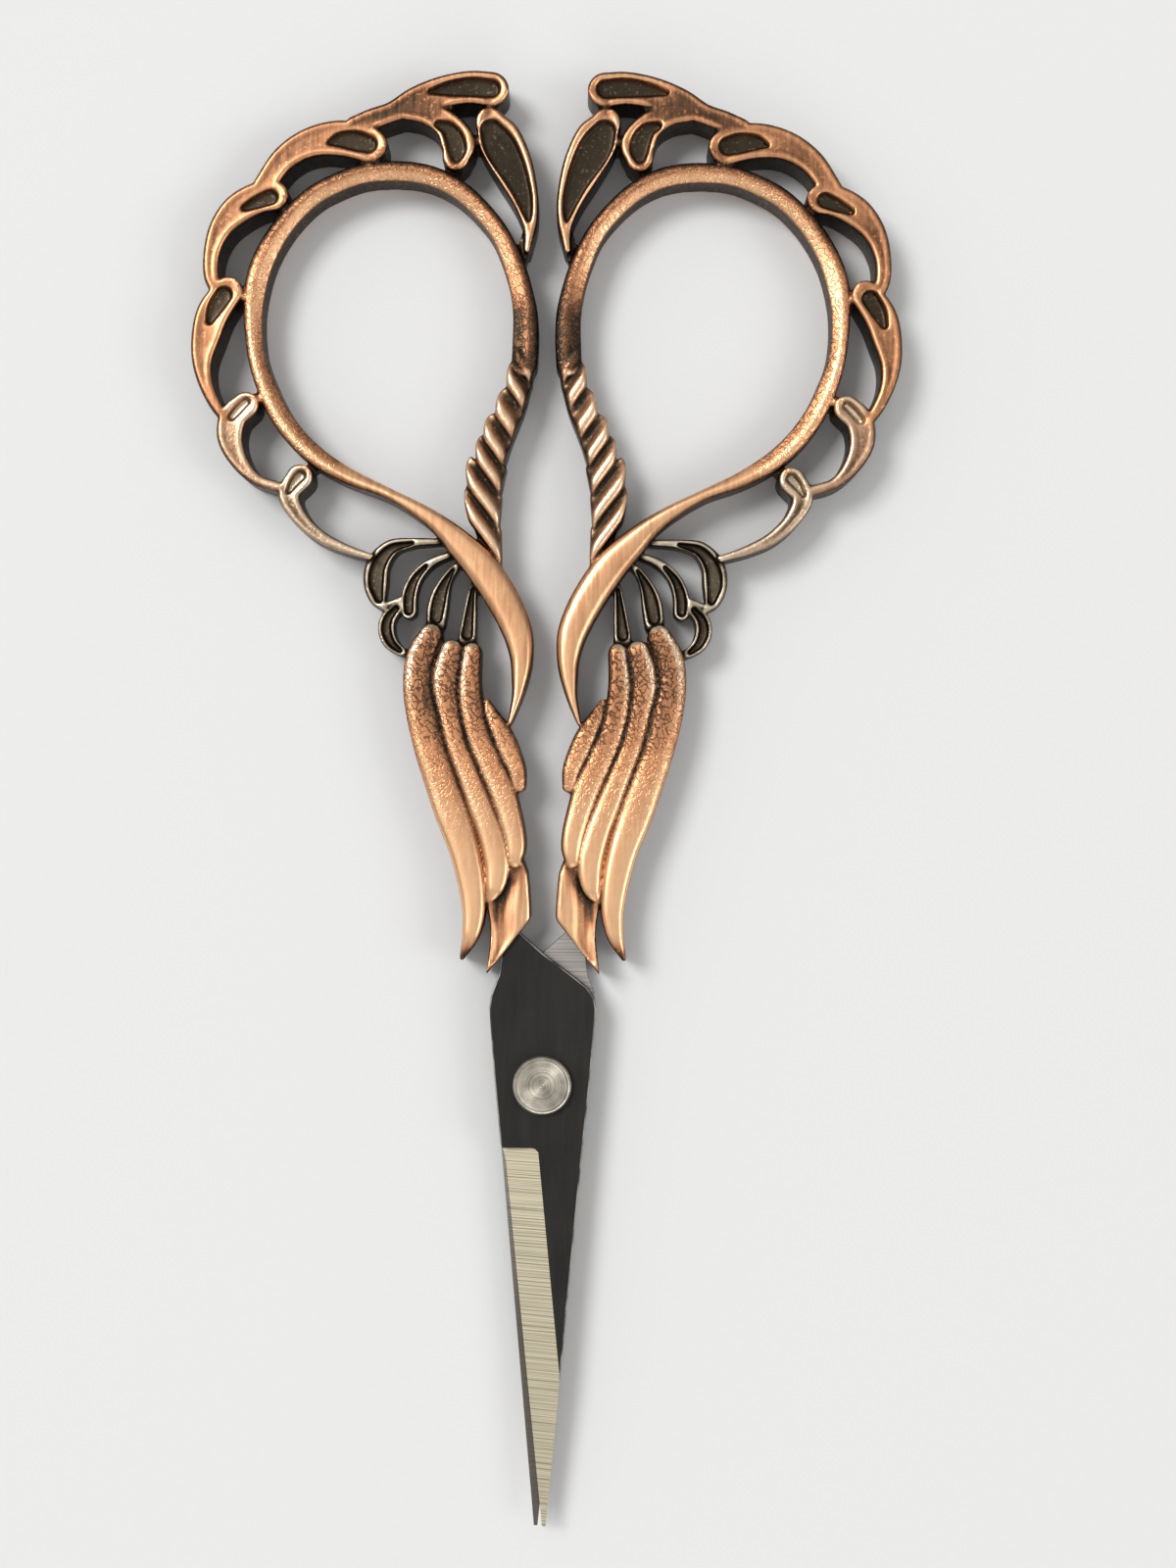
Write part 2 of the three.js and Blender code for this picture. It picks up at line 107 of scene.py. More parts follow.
def spline(points: np.ndarray, spacing: float) -> np.ndarray:
    """Evenly spaced points on a centripetal spline.

    Args:
        points: Points that the spline passes through, one a row.
        spacing: Distance between the points returned.

    Returns:
        The spaced points, first and last point included.
    """
    ends = np.vstack([2 * points[0] - points[1], points, 2 * points[-1] - points[-2]])
    steps = np.linspace(0.0, 1.0, SPLINE_STEPS, endpoint=False)[:, None]
    square, cube = steps**2, steps**3
    pieces = []
    for p0, p1, p2, p3 in zip(ends, ends[1:], ends[2:], ends[3:]):
        spans = ((p0, p1), (p1, p2), (p2, p3))
        knots = [math.sqrt(max(np.linalg.norm(b - a), TINY)) for a, b in spans]
        leave = (p1 - p0) / knots[0] - (p2 - p0) / (knots[0] + knots[1]) + (p2 - p1) / knots[1]
        arrive = (p2 - p1) / knots[1] - (p3 - p1) / (knots[1] + knots[2]) + (p3 - p2) / knots[2]
        pieces.append(
            p1 * (2 * cube - 3 * square + 1)
            + leave * knots[1] * (cube - 2 * square + steps)
            + p2 * (3 * square - 2 * cube)
            + arrive * knots[1] * (cube - square)
        )
    dense = np.vstack([*pieces, points[-1:]])
    spans = np.linalg.norm(np.diff(dense[:, :2], axis=0), axis=1)
    lengths = np.concatenate([[0.0], np.cumsum(spans)])
    count = max(3, int(round(lengths[-1] / spacing)) + 1)
    wanted = np.linspace(0.0, lengths[-1], count)
    return np.column_stack([np.interp(wanted, lengths, column) for column in dense.T])


def directions(line: np.ndarray) -> np.ndarray:
    """Unit directions along a line of places."""
    along = np.gradient(line[:, :2], axis=0)
    return along / np.linalg.norm(along, axis=1)[:, None]


def nearest(rows: np.ndarray, places: np.ndarray) -> tuple[np.ndarray, np.ndarray]:
    """Finds the row that lies nearest to each place, seen from above.

    Args:
        rows: Rows that start with x and y.
        places: Rows that start with x and y.

    Returns:
        Number of the nearest row and distance to it, for each place.
    """
    tree = kdtree.KDTree(len(rows))
    for index, (x, y) in enumerate(rows[:, :2]):
        tree.insert((x, y, 0.0), index)
    tree.balance()
    numbers, gaps = zip(*(tree.find((x, y, 0.0))[1:] for x, y in places[:, :2]))
    return np.array(numbers), np.array(gaps)


def skin(rings: int, size: int, flipped: bool = False) -> list[list[int]]:
    """Faces of a closed tube of equal rings.

    Args:
        rings: Number of rings.
        size: Corners of each ring.
        flipped: Whether the rings run the other way round.

    Returns:
        The faces, both ends included.
    """
    faces = [list(range(size))[::-1], list(range((rings - 1) * size, rings * size))]
    for start in range(0, (rings - 1) * size, size):
        for k in range(size):
            after = (k + 1) % size
            faces.append([start + k, start + after, start + size + after, start + size + k])
    return [face[::-1] for face in faces] if flipped else faces


@dataclass(frozen=True)
class Stroke:
    """A bar along a centre line, with its width at each station and round ends."""

    stations: tuple[Station, ...]
    fine: ClassVar[float] = 0.06
    margin: ClassVar[float] = 0.5
    far: ClassVar[float] = -1.0
    batch: ClassVar[int] = 4000

    def line(self, spacing: float) -> np.ndarray:
        """Samples the centre line.

        Args:
            spacing: Distance between stations.

        Returns:
            Evenly spaced stations: x, y and half width.
        """
        rows = np.array(self.stations, float)
        rows[:, 2] /= 2
        return spline(rows, spacing)

    def inside(self, places: np.ndarray) -> np.ndarray:
        """How deep places lie inside the stroke's outline, in millimetres.

        Args:
            places: Rows of x and y.

        Returns:
            Depth of each place, negative outside and -1 where it is far away.
        """
        line = self.line(self.fine)
        depth = np.full(len(places), self.far)
        reach = line[:, 2].max() + self.margin
        low = line[:, :2].min(0) - reach
        high = line[:, :2].max(0) + reach
        near = np.flatnonzero(((places > low) & (places < high)).all(1))
        for part in np.array_split(near, max(1, len(near) // self.batch)):
            gaps = np.linalg.norm(places[part, None, :] - line[None, :, :2], axis=2)
            depth[part] = (line[None, :, 2] - gaps).max(1)
        return depth


def strokes(*lines: tuple[Station, ...]) -> tuple[Stroke, ...]:
    """Makes a stroke of each line of stations."""
    return tuple(Stroke(line) for line in lines)


ROUND_TOP, FLAT_TOP = 2.0, 4.0
SOFT_FALL, ROUND_FALL, STEEP_FALL = 1.0, 0.5, 0.3


def crown(edge: float, top: float, power: float = ROUND_TOP, root: float = SOFT_FALL) -> Profile:
    """Makes a profile that falls alike from its middle to both edges.

    Args:
        edge: Half height at the edges.
        top: Half height along the middle.
        power: How flat the middle is.
        root: How gently it falls at the edges.

    Returns:
        The profile.
    """

    def height(across: np.ndarray, _half_width: float, _share: float) -> np.ndarray:
        """Half height at places across the width."""
        return edge + (top - edge) * np.maximum(0.0, 1.0 - np.abs(across) ** power) ** root

    return height


def strip(top: float) -> Profile:
    """Makes the profile of a flat strip with upright sides."""
    return crown(top, top)


@dataclass(frozen=True)
class Zone:
    """Strokes of the relief that are rubbed, grained, worn and brushed alike.

    The tone runs from 0, black patina, to 1, rubbed bright. The flank light and wear is a painted highlight
    on a strip of a stroke's right side, with painted shade towards its left side, and it wears the plating on
    that strip. The hollow is how much low places darken and the rim is how much sharp edges brighten, as
    rubbed metal and as a painted highlight. The fade takes the tone's place where it changes along a stroke:
    stations of share of the length, tone and a painted highlight on the left side, painted shade where it is
    negative.
    """

    strokes: tuple[Stroke, ...]
    tone: float = 0.0
    grain: float = 0.0
    worn: float = 0.0
    brush: float = 0.0
    flank_light_and_wear: float = 0.0
    hollow: float = 0.4
    rim: float = 0.4
    first: float = 0.0
    last: float = 1.0
    fade: tuple[Station, ...] = ()
    columns: ClassVar[int] = 11
    widest: ClassVar[float] = 0.92
    left_side: ClassVar[Range] = (-0.05, 0.3)
    strip_place: ClassVar[float] = -0.6
    strip_width: ClassVar[float] = 0.2
    shaded_side: ClassVar[Range] = (0.1, 0.8)
    shading: ClassVar[float] = 0.5

    def rows(self, spacing: float) -> np.ndarray:
        """Samples the strokes.

        Args:
            spacing: Distance between places along a stroke.

        Returns:
            Rows of x, y, place across the width, -1 to 1 from right to left, and share of the length.
        """
        parts = []
        for stroke in self.strokes:
            line = stroke.line(spacing)
            along = directions(line)
            left = np.column_stack([-along[:, 1], along[:, 0]]) * line[:, 2:]
            share = np.linspace(0.0, 1.0, len(line))
            used = (share >= self.first) & (share <= self.last)
            for across in np.linspace(-self.widest, self.widest, self.columns):
                places = line[:, :2] + left * across
                parts.append(np.column_stack([places, np.full(len(line), across), share])[used])
        return np.vstack(parts)

    def values(self, across: np.ndarray, share: np.ndarray) -> np.ndarray:
        """Wear at places on the strokes.

        Args:
            across: Place across the width, -1 to 1 from right to left.
            share: Share of the length.

        Returns:
            One row for each place, in the order of Wear.
        """
        shares, tones, lifts = np.array(self.fade or ((0.0, self.tone, 0.0),)).T
        # Painted highlight on the left side, painted shade where the fade gives a negative value.
        lift = np.interp(share, shares, lifts) * smoothstep(self.left_side, across)
        on_strip = np.exp(-(((across - self.strip_place) / self.strip_width) ** 2))
        # Painted highlight on a strip of the right side and painted shade towards the left.
        flank_light_and_wear = self.flank_light_and_wear * (on_strip - self.shading * smoothstep(self.shaded_side, across))
        tone = np.interp(share, shares, tones) + lift + flank_light_and_wear
        rest = np.tile((self.grain, self.worn, self.brush, self.hollow, self.rim), (len(across), 1))
        rows = np.column_stack([tone, rest])
        rows[:, Wear.WORN] += on_strip * (self.flank_light_and_wear > 0.0)
        return rows


def link(mesh: bpy.types.Mesh, name: str) -> bpy.types.Object:
    """Links a mesh to the scene as an object at the origin.

    Args:
        mesh: Mesh to link.
        name: Name of the object.

    Returns:
        The object.
    """
    piece = bpy.data.objects.new(name, mesh)
    bpy.context.scene.collection.objects.link(piece)
    return piece


def solid(name: str, vertices: Sequence[Sequence[float]], faces: Sequence[Sequence[int]]) -> bpy.types.Object:
    """Links a new mesh as an object at the origin.

    Args:
        name: Name of the mesh and of its object.
        vertices: Place of each vertex.
        faces: Corners of each face.

    Returns:
        The object.
    """
    mesh = bpy.data.meshes.new(name)
    mesh.from_pydata(vertices, [], faces)
    mesh.update()
    return link(mesh, name)


def applied(piece: bpy.types.Object) -> bpy.types.Object:
    """Bakes an object's modifiers into its mesh.

    Args:
        piece: Object with modifiers.

    Returns:
        The same object, with a plain mesh and no modifier.
    """
    bpy.context.view_layer.update()
    shape = piece.evaluated_get(bpy.context.evaluated_depsgraph_get())
    mesh = bpy.data.meshes.new_from_object(shape)
    piece.modifiers.clear()
    old = piece.data
    piece.data = mesh
    bpy.data.meshes.remove(old)
    mesh.name = piece.name
    return piece


class Vertex(Enum):
    """What a mesh says of its vertices."""

    PLACE = "co"
    NORMAL = "normal"


def rows_of(mesh: bpy.types.Mesh, kind: Vertex) -> np.ndarray:
    """Reads the vertices of a mesh.

    Args:
        mesh: Mesh to read.
        kind: What is read.

    Returns:
        Rows of x, y and z.
    """
    flat = np.empty(len(mesh.vertices) * 3)
    mesh.vertices.foreach_get(kind.value, flat)
    return flat.reshape(-1, 3)


def set_vertices(mesh: bpy.types.Mesh, places: np.ndarray) -> None:
    """Moves the vertices to new places."""
    mesh.vertices.foreach_set(Vertex.PLACE.value, places.ravel())
    mesh.update()


def neighbour_mean(mesh: bpy.types.Mesh) -> Callable[[np.ndarray, int], np.ndarray]:
    """Makes a function that averages values over each vertex and its neighbours.

    Args:
        mesh: Mesh whose edges give the neighbours.

    Returns:
        A function from rows of values and a number of rounds to their means.
    """
    ends = np.empty(len(mesh.edges) * 2, np.int64)
    mesh.edges.foreach_get("vertices", ends)
    first, second = ends[0::2], ends[1::2]
    count = len(mesh.vertices)
    shared = 1.0 + np.bincount(first, minlength=count) + np.bincount(second, minlength=count)

    def column_mean(column: np.ndarray) -> np.ndarray:
        """Mean of one value over each vertex and its neighbours."""
        sums = np.bincount(first, column[second], count) + np.bincount(second, column[first], count)
        return (column + sums) / shared

    def mean(rows: np.ndarray, rounds: int) -> np.ndarray:
        """Averages over the neighbours, again and again.

        Args:
            rows: Values of each vertex.
            rounds: How many times.

        Returns:
            The averaged rows.
        """
        for _round in range(rounds):
            rows = np.column_stack([column_mean(column) for column in rows.T])
        return rows

    return mean


def shade_smooth(mesh: bpy.types.Mesh) -> None:
    """Shades every face of a mesh smoothly."""
    mesh.polygons.foreach_set("use_smooth", np.ones(len(mesh.polygons), bool))


def into_frame(mesh: bpy.types.Mesh, half: Half) -> None:
    """Takes a mesh drawn in millimetres about the pivot to its place in the part's frame.

    Args:
        mesh: Mesh of the front half, its mid plane at z = 0.
        half: Half that it belongs to. The rear half is turned over about Y.
    """
    places = rows_of(mesh, Vertex.PLACE)
    if half is Half.REAR:
        places = places * (-1, 1, -1)
    set_vertices(mesh, places * MM + np.array(PIVOT))


@dataclass
class Casting:
    """Closed bars gathered in millimetres, to be fused into one casting."""

    vertices: list[np.ndarray] = field(default_factory=list)
    faces: list[list[int]] = field(default_factory=list)
    count: int = 0
    end_turns: ClassVar[tuple[float, ...]] = (84.0, 70.0, 55.0, 40.0, 25.0, 12.0)
    columns: ClassVar[int] = 19
    dome_curve: ClassVar[float] = 0.6
    dome_width: ClassVar[float] = 0.75
    knee: ClassVar[float] = 0.3

    def add(self, vertices: np.ndarray, faces: Sequence[Sequence[int]]) -> None:
        """Adds one closed shape.

        Args:
            vertices: Rows of x, y and z.
            faces: Corners of each face.
        """
        self.faces.extend([corner + self.count for corner in face] for face in faces)
        self.vertices.append(vertices)
        self.count += len(vertices)

    def add_stroke(
        self, stroke: Stroke, profile: Profile, spacing: float = SECTION_SPACING, domed: bool = False
    ) -> None:
        """Adds a stroke with a profile that is the same above and below the mid plane.

        Args:
            stroke: Centre line and widths.
            profile: Half height for places across the width, half width and share of the length.
            spacing: Distance between sections.
            domed: Whether the round ends fall away in height as well.
        """
        line = stroke.line(spacing)
        along = directions(line)
        turns = np.radians(self.end_turns)
        shares = np.linspace(0.0, 1.0, len(line))
        sections = [(line[0], along[0], -turn, 0.0) for turn in turns]
        sections += [(row, direction, 0.0, share) for row, direction, share in zip(line, along, shares)]
        sections += [(line[-1], along[-1], turn, 1.0) for turn in turns[::-1]]
        across = np.sin(np.linspace(math.pi / 2, -math.pi / 2, self.columns))
        rings = []
        for (x, y, half_width), direction, turn, share in sections:
            centre = np.array((x, y)) + direction * half_width * math.sin(turn)
            width = half_width * math.cos(turn)
            height = profile(across, width, share)
            if domed:
                edge = height.min()
                fall = math.cos(turn) ** self.dome_curve * min(1.0, half_width / self.dome_width)
                height = edge + (height - edge) * fall
            side = np.array([-direction[1], direction[0]])
            places = centre + np.outer(across * width, side)
            upper = np.column_stack([places, height])
            lower = np.column_stack([places, -height])[::-1]
            rings.append(np.vstack([upper, lower]))
        self.add(np.vstack(rings), skin(len(rings), len(rings[0])))

    def add_slab(self, outline: Sequence[Point], half_height: float, softening: float) -> None:
        """Adds a flat slab with softened edges over an outline.

        Args:
            outline: Corners, counterclockwise.
            half_height: Half of the thickness.
            softening: Width of the softened edge.
        """
        corners = np.array(outline, float)
        chord = np.roll(corners, -1, 0) - np.roll(corners, 1, 0)
        inward = np.column_stack([-chord[:, 1], chord[:, 0]])
        inward /= np.linalg.norm(inward, axis=1)[:, None]
        knee = softening * self.knee
        levels = [(softening, half_height), (knee, half_height - knee), (0.0, half_height - softening)]
        levels += [(inset, -height) for inset, height in levels[::-1]]
        rings = [np.column_stack([corners + inward * inset, np.full(len(corners), z)]) for inset, z in levels]
        self.add(np.vstack(rings), skin(len(rings), len(corners), flipped=True))

    def object(self, name: str) -> bpy.types.Object:
        """Links the gathered bars as one object, in millimetres."""
        return solid(name, np.vstack(self.vertices).tolist(), self.faces)


@dataclass(frozen=True)
class Pattern:
    """Noise over a piece: cells a metre, octaves and the scale of each axis."""

    scale: float
    octaves: float = 3.0
    stretch: Triple = (1.0, 1.0, 1.0)


class Nodes:
    """Short ways to build a material's or a geometry's node tree."""

    MIX_SHARE = 0
    MIX_FIRST = 6
    MIX_SECOND = 7
    MIX_RESULT = 2

    def __init__(self, tree: bpy.types.NodeTree) -> None:
        """Keeps the tree that the nodes go in."""
        self.tree = tree

    def put(self, target: Socket, value: Value) -> None:
        """Links another socket to an input, or sets its own value.

        Args:
            target: Input that is linked or set.
            value: Socket, number, vector or linear colour that it gets.
        """
        if isinstance(value, Socket):
            self.tree.links.new(value, target)
        elif isinstance(value, tuple) and target.type == "RGBA":
            target.default_value = (*value, 1.0)
        else:
            target.default_value = value

    def add(self, kind: str, inputs: Inputs | None = None, **settings: object) -> bpy.types.Node:
        """Adds a node.

        Args:
            kind: Type of the node.
            inputs: Sockets and values of its inputs, by name or number.
            **settings: Its properties.

        Returns:
            The node.
        """
        node = self.tree.nodes.new(kind)
        for name, value in settings.items():
            setattr(node, name, value)
        for socket, value in (inputs or {}).items():
            self.put(node.inputs[socket], value)
        return node

    def math(self, operation: str, *values: Value, clamp: bool = False) -> Socket:
        """Works out an operation on sockets or numbers, kept between 0 and 1 if it is clamped."""
        inputs = dict(enumerate(values))
        return self.add("ShaderNodeMath", inputs, operation=operation, use_clamp=clamp).outputs[0]

    def total(self, *terms: tuple[Socket, Value], offset: float = 0.0, clamp: bool = False) -> Socket:
        """Adds up sockets.

        Args:
            *terms: Each socket and its weight.
            offset: What is added to the sum.
            clamp: Whether the sum is kept between 0 and 1.

        Returns:
            The sum's socket.
        """
        total = offset
        for count, (value, weight) in enumerate(terms, 1):
            total = self.math("MULTIPLY_ADD", value, weight, total, clamp=clamp and count == len(terms))
        return total

    def vector(self, operation: str, *values: Value) -> Socket:
        """Works out an operation on vectors."""
        inputs = dict(enumerate(values))
        return self.add("ShaderNodeVectorMath", inputs, operation=operation).outputs["Vector"]

    def scaled(self, value: Socket, factor: Socket) -> Socket:
        """Multiplies a vector by a number."""
        inputs = {0: value, "Scale": factor}
        return self.add("ShaderNodeVectorMath", inputs, operation="SCALE").outputs["Vector"]

    def apart(self, value: Socket) -> Sequence[Socket]:
        """The x, y and z of a vector."""
        return self.add("ShaderNodeSeparateXYZ", {0: value}).outputs

    def vector_attribute(self, name: str) -> Socket:
        """Vector of a geometry's own attribute."""
        node = self.add("GeometryNodeInputNamedAttribute", {"Name": name}, data_type="FLOAT_VECTOR")
        return node.outputs["Attribute"]

    def attribute(self, name: str) -> Socket:
        """Value of a piece's own attribute."""
        return self.add("ShaderNodeAttribute", attribute_name=name).outputs["Fac"]

    def ramp(self, value: Socket, stops: Sequence[Stop]) -> Socket:
        """Adds a Color Ramp over a value.

        Args:
            value: Socket that drives the ramp.
            stops: Position and linear colour of each stop.

        Returns:
            The colour's socket.
        """
        node = self.add("ShaderNodeValToRGB", {0: value})
        elements = node.color_ramp.elements
        for position, _colour in stops[len(elements):]:
            elements.new(position)
        for element, (position, colour) in zip(elements, stops):
            element.position = position
            element.color = (*colour, 1.0)
        return node.outputs[0]

    def mix(self, share: Value, first: Value, second: Value) -> Socket:
        """Mixes two colours: a share of 0 gives the first one and a share of 1 the second."""
        inputs = {self.MIX_SHARE: share, self.MIX_FIRST: first, self.MIX_SECOND: second}
        return self.add("ShaderNodeMix", inputs, data_type="RGBA").outputs[self.MIX_RESULT]

    def noise(self, place: Socket, pattern: Pattern) -> Socket:
        """Adds a noise texture.

        Args:
            place: Place in metres.
            pattern: Pattern of the noise.

        Returns:
            The socket of its value.
        """
        if pattern.stretch != Pattern.stretch:
            place = self.add("ShaderNodeMapping", {"Vector": place, "Scale": pattern.stretch}).outputs[0]
        inputs = {"Vector": place, "Scale": pattern.scale, "Detail": pattern.octaves}
        return self.add("ShaderNodeTexNoise", inputs).outputs["Fac"]

    def bump(self, height: Socket, distance: float, strength: float) -> Socket:
        """Normal that a height of 0 to 1 bumps by a distance in metres."""
        inputs = {"Height": height, "Distance": distance, "Strength": strength}
        return self.add("ShaderNodeBump", inputs).outputs[0]


@dataclass(frozen=True)
class Finish:
    """A named finish with its own shader. The relief is metres, the roughness that of its smoothest place."""

    name: str
    metallic: float = 0.0
    roughness: float = 0.3
    relief: float = 0.00002
    relief_strength: float = 0.7

    def material(self) -> bpy.types.Material:
        """Builds the finish, if it isn't there yet.

        Returns:
            Its material.
        """
        found = bpy.data.materials.get(self.name)
        if found is not None:
            return found
        material = bpy.data.materials.new(self.name)
        material.use_nodes = True
        nodes = Nodes(material.node_tree)
        shader = material.node_tree.nodes["Principled BSDF"]
        place = nodes.add("ShaderNodeTexCoord").outputs["Object"]
        for name, value in {"Metallic": self.metallic, **self.paint(nodes, place)}.items():
            nodes.put(shader.inputs[name], value)
        return material

    def paint(self, nodes: Nodes, place: Socket) -> Inputs:
        """Wires the finish.

        Args:
            nodes: The material's tree.
            place: Object coordinates.

        Returns:
            Names and values of the shader's inputs.
        """
        raise NotImplementedError

    def bump(self, nodes: Nodes, height: Socket) -> Socket:
        """Normal bumped by the finish's own relief."""
        return nodes.bump(height, self.relief, self.relief_strength)


@dataclass(frozen=True)
class AntiqueCopper(Finish):
    """Copper plating, dark in the recesses and rubbed bright on what stands out.

    The tone runs from 0, black patina, to 1, rubbed bright. A share is how much a pattern adds to the tone,
    and a dulling is how much it adds to the roughness. The plating runs from black over dark brown, brown and
    copper to rubbed copper, the bare metal from black over dark brown and olive to silver.
    """

    name: str = "rubbed_copper"
    metallic: float = 1.0
    roughness: float = 0.20
    relief: float = 0.00005
    relief_strength: float = 0.8
    plating: tuple[Stop, ...] = (
        (0.0, (0.020, 0.016, 0.012)), (0.16, (0.048, 0.035, 0.023)), (0.36, (0.17, 0.080, 0.043)),
        (0.60, (0.58, 0.27, 0.132)), (1.0, (0.95, 0.57, 0.32)),
    )
    bare_metal: tuple[Stop, ...] = (
        (0.0, (0.020, 0.016, 0.012)), (0.20, (0.048, 0.035, 0.023)), (0.45, (0.13, 0.11, 0.075)),
        (0.9, (0.80, 0.69, 0.53)),
    )
    cloud: Pattern = Pattern(260.0, 4.0)
    cloud_share: float = 0.24
    fleck: Pattern = Pattern(1900.0)
    fleck_share: float = 0.16
    streak: Pattern = Pattern(700.0, 4.0, (5.0, 0.4, 1.0))
    streak_middle: float = 0.5
    streak_share: float = 0.5
    streak_dulling: float = 0.18
    streak_relief: float = 0.35
    crinkle: Pattern = Pattern(2100.0, 2.0, (1.0, 0.8, 1.0))
    crinkle_contrast: float = 7.0
    crinkle_middle: float = 0.82
    crinkle_share: float = 0.25
    grain_dulling: float = 0.08
    speck: Pattern = Pattern(3600.0, 2.0)
    speck_level: float = 0.6
    speck_contrast: float = 9.0
    speck_share: float = 0.3
    patina_dulling: float = 0.16

    def paint(self, nodes: Nodes, place: Socket) -> Inputs:
        """Wires patina, rubbing, worn plating, cast grain and brush lines.

        Args:
            nodes: The material's tree.
            place: Object coordinates.

        Returns:
            Names and values of the shader's inputs.
        """
        exposure, grain, worn, brush = (nodes.attribute(name) for name in WEAR_NAMES.values())
        streak = nodes.noise(place, self.streak)
        lines = nodes.math("SUBTRACT", streak, self.streak_middle)
        fold = nodes.math("MULTIPLY_ADD", nodes.noise(place, self.crinkle), 2.0, -1.0)
        crinkle = nodes.math("MULTIPLY", nodes.math("ABSOLUTE", fold), self.crinkle_contrast, clamp=True)
        mottle = nodes.math("SUBTRACT", crinkle, self.crinkle_middle)
        speck = nodes.math("SUBTRACT", nodes.noise(place, self.speck), self.speck_level)
        speck = nodes.math("MULTIPLY", speck, self.speck_contrast, clamp=True)
        tone = nodes.total(
            (exposure, 1.0),
            (nodes.noise(place, self.cloud), self.cloud_share),
            (nodes.noise(place, self.fleck), self.fleck_share),
            (nodes.math("MULTIPLY", speck, nodes.math("SUBTRACT", 1.0, exposure)), self.speck_share),
            (nodes.math("MULTIPLY", lines, brush), self.streak_share),
            (nodes.math("MULTIPLY", mottle, grain), self.crinkle_share),
            offset=-(self.cloud_share + self.fleck_share) / 2,
            clamp=True,
        )
        colour = nodes.mix(worn, nodes.ramp(tone, self.plating), nodes.ramp(tone, self.bare_metal))
        dull = nodes.total(
            (streak, self.streak_dulling),
            (grain, self.grain_dulling),
            (nodes.math("SUBTRACT", 1.0, tone), self.patina_dulling),
            offset=self.roughness,
        )
        height = nodes.total((crinkle, grain), (nodes.math("MULTIPLY", brush, streak), self.streak_relief))
        return {"Base Color": colour, "Roughness": dull, "Normal": self.bump(nodes, height)}


@dataclass(frozen=True)
class BlackOxide(Finish):
    """Matt black oxide on steel, with faint blotches and fine scratches."""

    name: str = "black_oxide"
    roughness: float = 0.42
    relief: float = 0.000008
    relief_strength: float = 0.5
    shine: float = 0.20
    tones: tuple[Stop, ...] = ((0.35, (0.0085, 0.0082, 0.0072)), (0.85, (0.022, 0.021, 0.018)))
    blotch: Pattern = Pattern(180.0, 4.0)
    blotch_share: float = 0.6
    scratch: Pattern = Pattern(700.0, 3.0, (3.0, 0.3, 1.0))
    scratch_share: float = 0.5
    scratch_dulling: float = 0.16
    tooth: Pattern = Pattern(9000.0, 2.0)

    def paint(self, nodes: Nodes, place: Socket) -> Inputs:
        """Wires blotches, scratches and a fine tooth.

        Args:
            nodes: The material's tree.
            place: Object coordinates.

        Returns:
            Names and values of the shader's inputs.
        """
        scratch = nodes.noise(place, self.scratch)
        blotch = nodes.noise(place, self.blotch)
        tone = nodes.total((blotch, self.blotch_share), (scratch, self.scratch_share))
        return {
            "Base Color": nodes.ramp(tone, self.tones),
            "Specular IOR Level": self.shine,
            "Roughness": nodes.total((scratch, self.scratch_dulling), offset=self.roughness),
            "Normal": self.bump(nodes, nodes.noise(place, self.tooth)),
        }


@dataclass(frozen=True)
class GroundSteel(Finish):
    """Steel straight from the grinding wheel, with lines across the blade, darker towards the tip."""

    name: str = "ground_bevel"
    metallic: float = 0.85
    relief_strength: float = 0.6
    deep: Stop = (0.36, (0.22, 0.195, 0.14))
    pale: Stop = (0.55, (0.70, 0.635, 0.465))
    fine: Pattern = Pattern(1000.0, 3.0, (0.025, 8.0, 0.0))
    fine_share: float = 0.85
    fine_dulling: float = 0.25
    coarse: Pattern = Pattern(320.0, 3.0, (0.05, 4.0, 0.0))
    tip_darkening: float = 0.0
    darkening_rise: float = -40.0
    darkening_start: float = -0.8
    darkening_tone: Triple = (0.085, 0.070, 0.060)

    def paint(self, nodes: Nodes, place: Socket) -> Inputs:
        """Wires fine and coarse lines across the blade, and the darkening towards the tip.

        Args:
            nodes: The material's tree.
            place: Object coordinates.

        Returns:
            Names and values of the shader's inputs.
        """
        fine = nodes.noise(place, self.fine)
        lines = nodes.total((fine, self.fine_share), (nodes.noise(place, self.coarse), 1.0 - self.fine_share))
        along = nodes.apart(place)["Y"]
        towards_tip = nodes.total((along, self.darkening_rise), offset=self.darkening_start, clamp=True)
        darkened = nodes.math("MULTIPLY", towards_tip, self.tip_darkening)
        steel = nodes.ramp(lines, (self.deep, self.pale))
        return {
            "Base Color": nodes.mix(darkened, steel, self.darkening_tone),
            "Roughness": nodes.total((fine, self.fine_dulling), offset=self.roughness),
            "Normal": self.bump(nodes, lines),
        }


@dataclass(frozen=True)
class WornEdge(Finish):
    """Edge of the blade where the black has rubbed off."""

    name: str = "worn_edge"
    metallic: float = 0.4
    run: Pattern = Pattern(500.0)
    run_dulling: float = 0.2
    tones: tuple[Stop, ...] = ((0.38, (0.035, 0.034, 0.031)), (0.62, (0.30, 0.285, 0.26)))

    def paint(self, nodes: Nodes, place: Socket) -> Inputs:
        """Wires bare steel that shows through in runs.

        Args:
            nodes: The material's tree.
            place: Object coordinates.

        Returns:
            Names and values of the shader's inputs.
        """
        run = nodes.noise(place, self.run)
        return {
            "Base Color": nodes.ramp(run, self.tones),
            "Roughness": nodes.total((run, self.run_dulling), offset=self.roughness),
        }


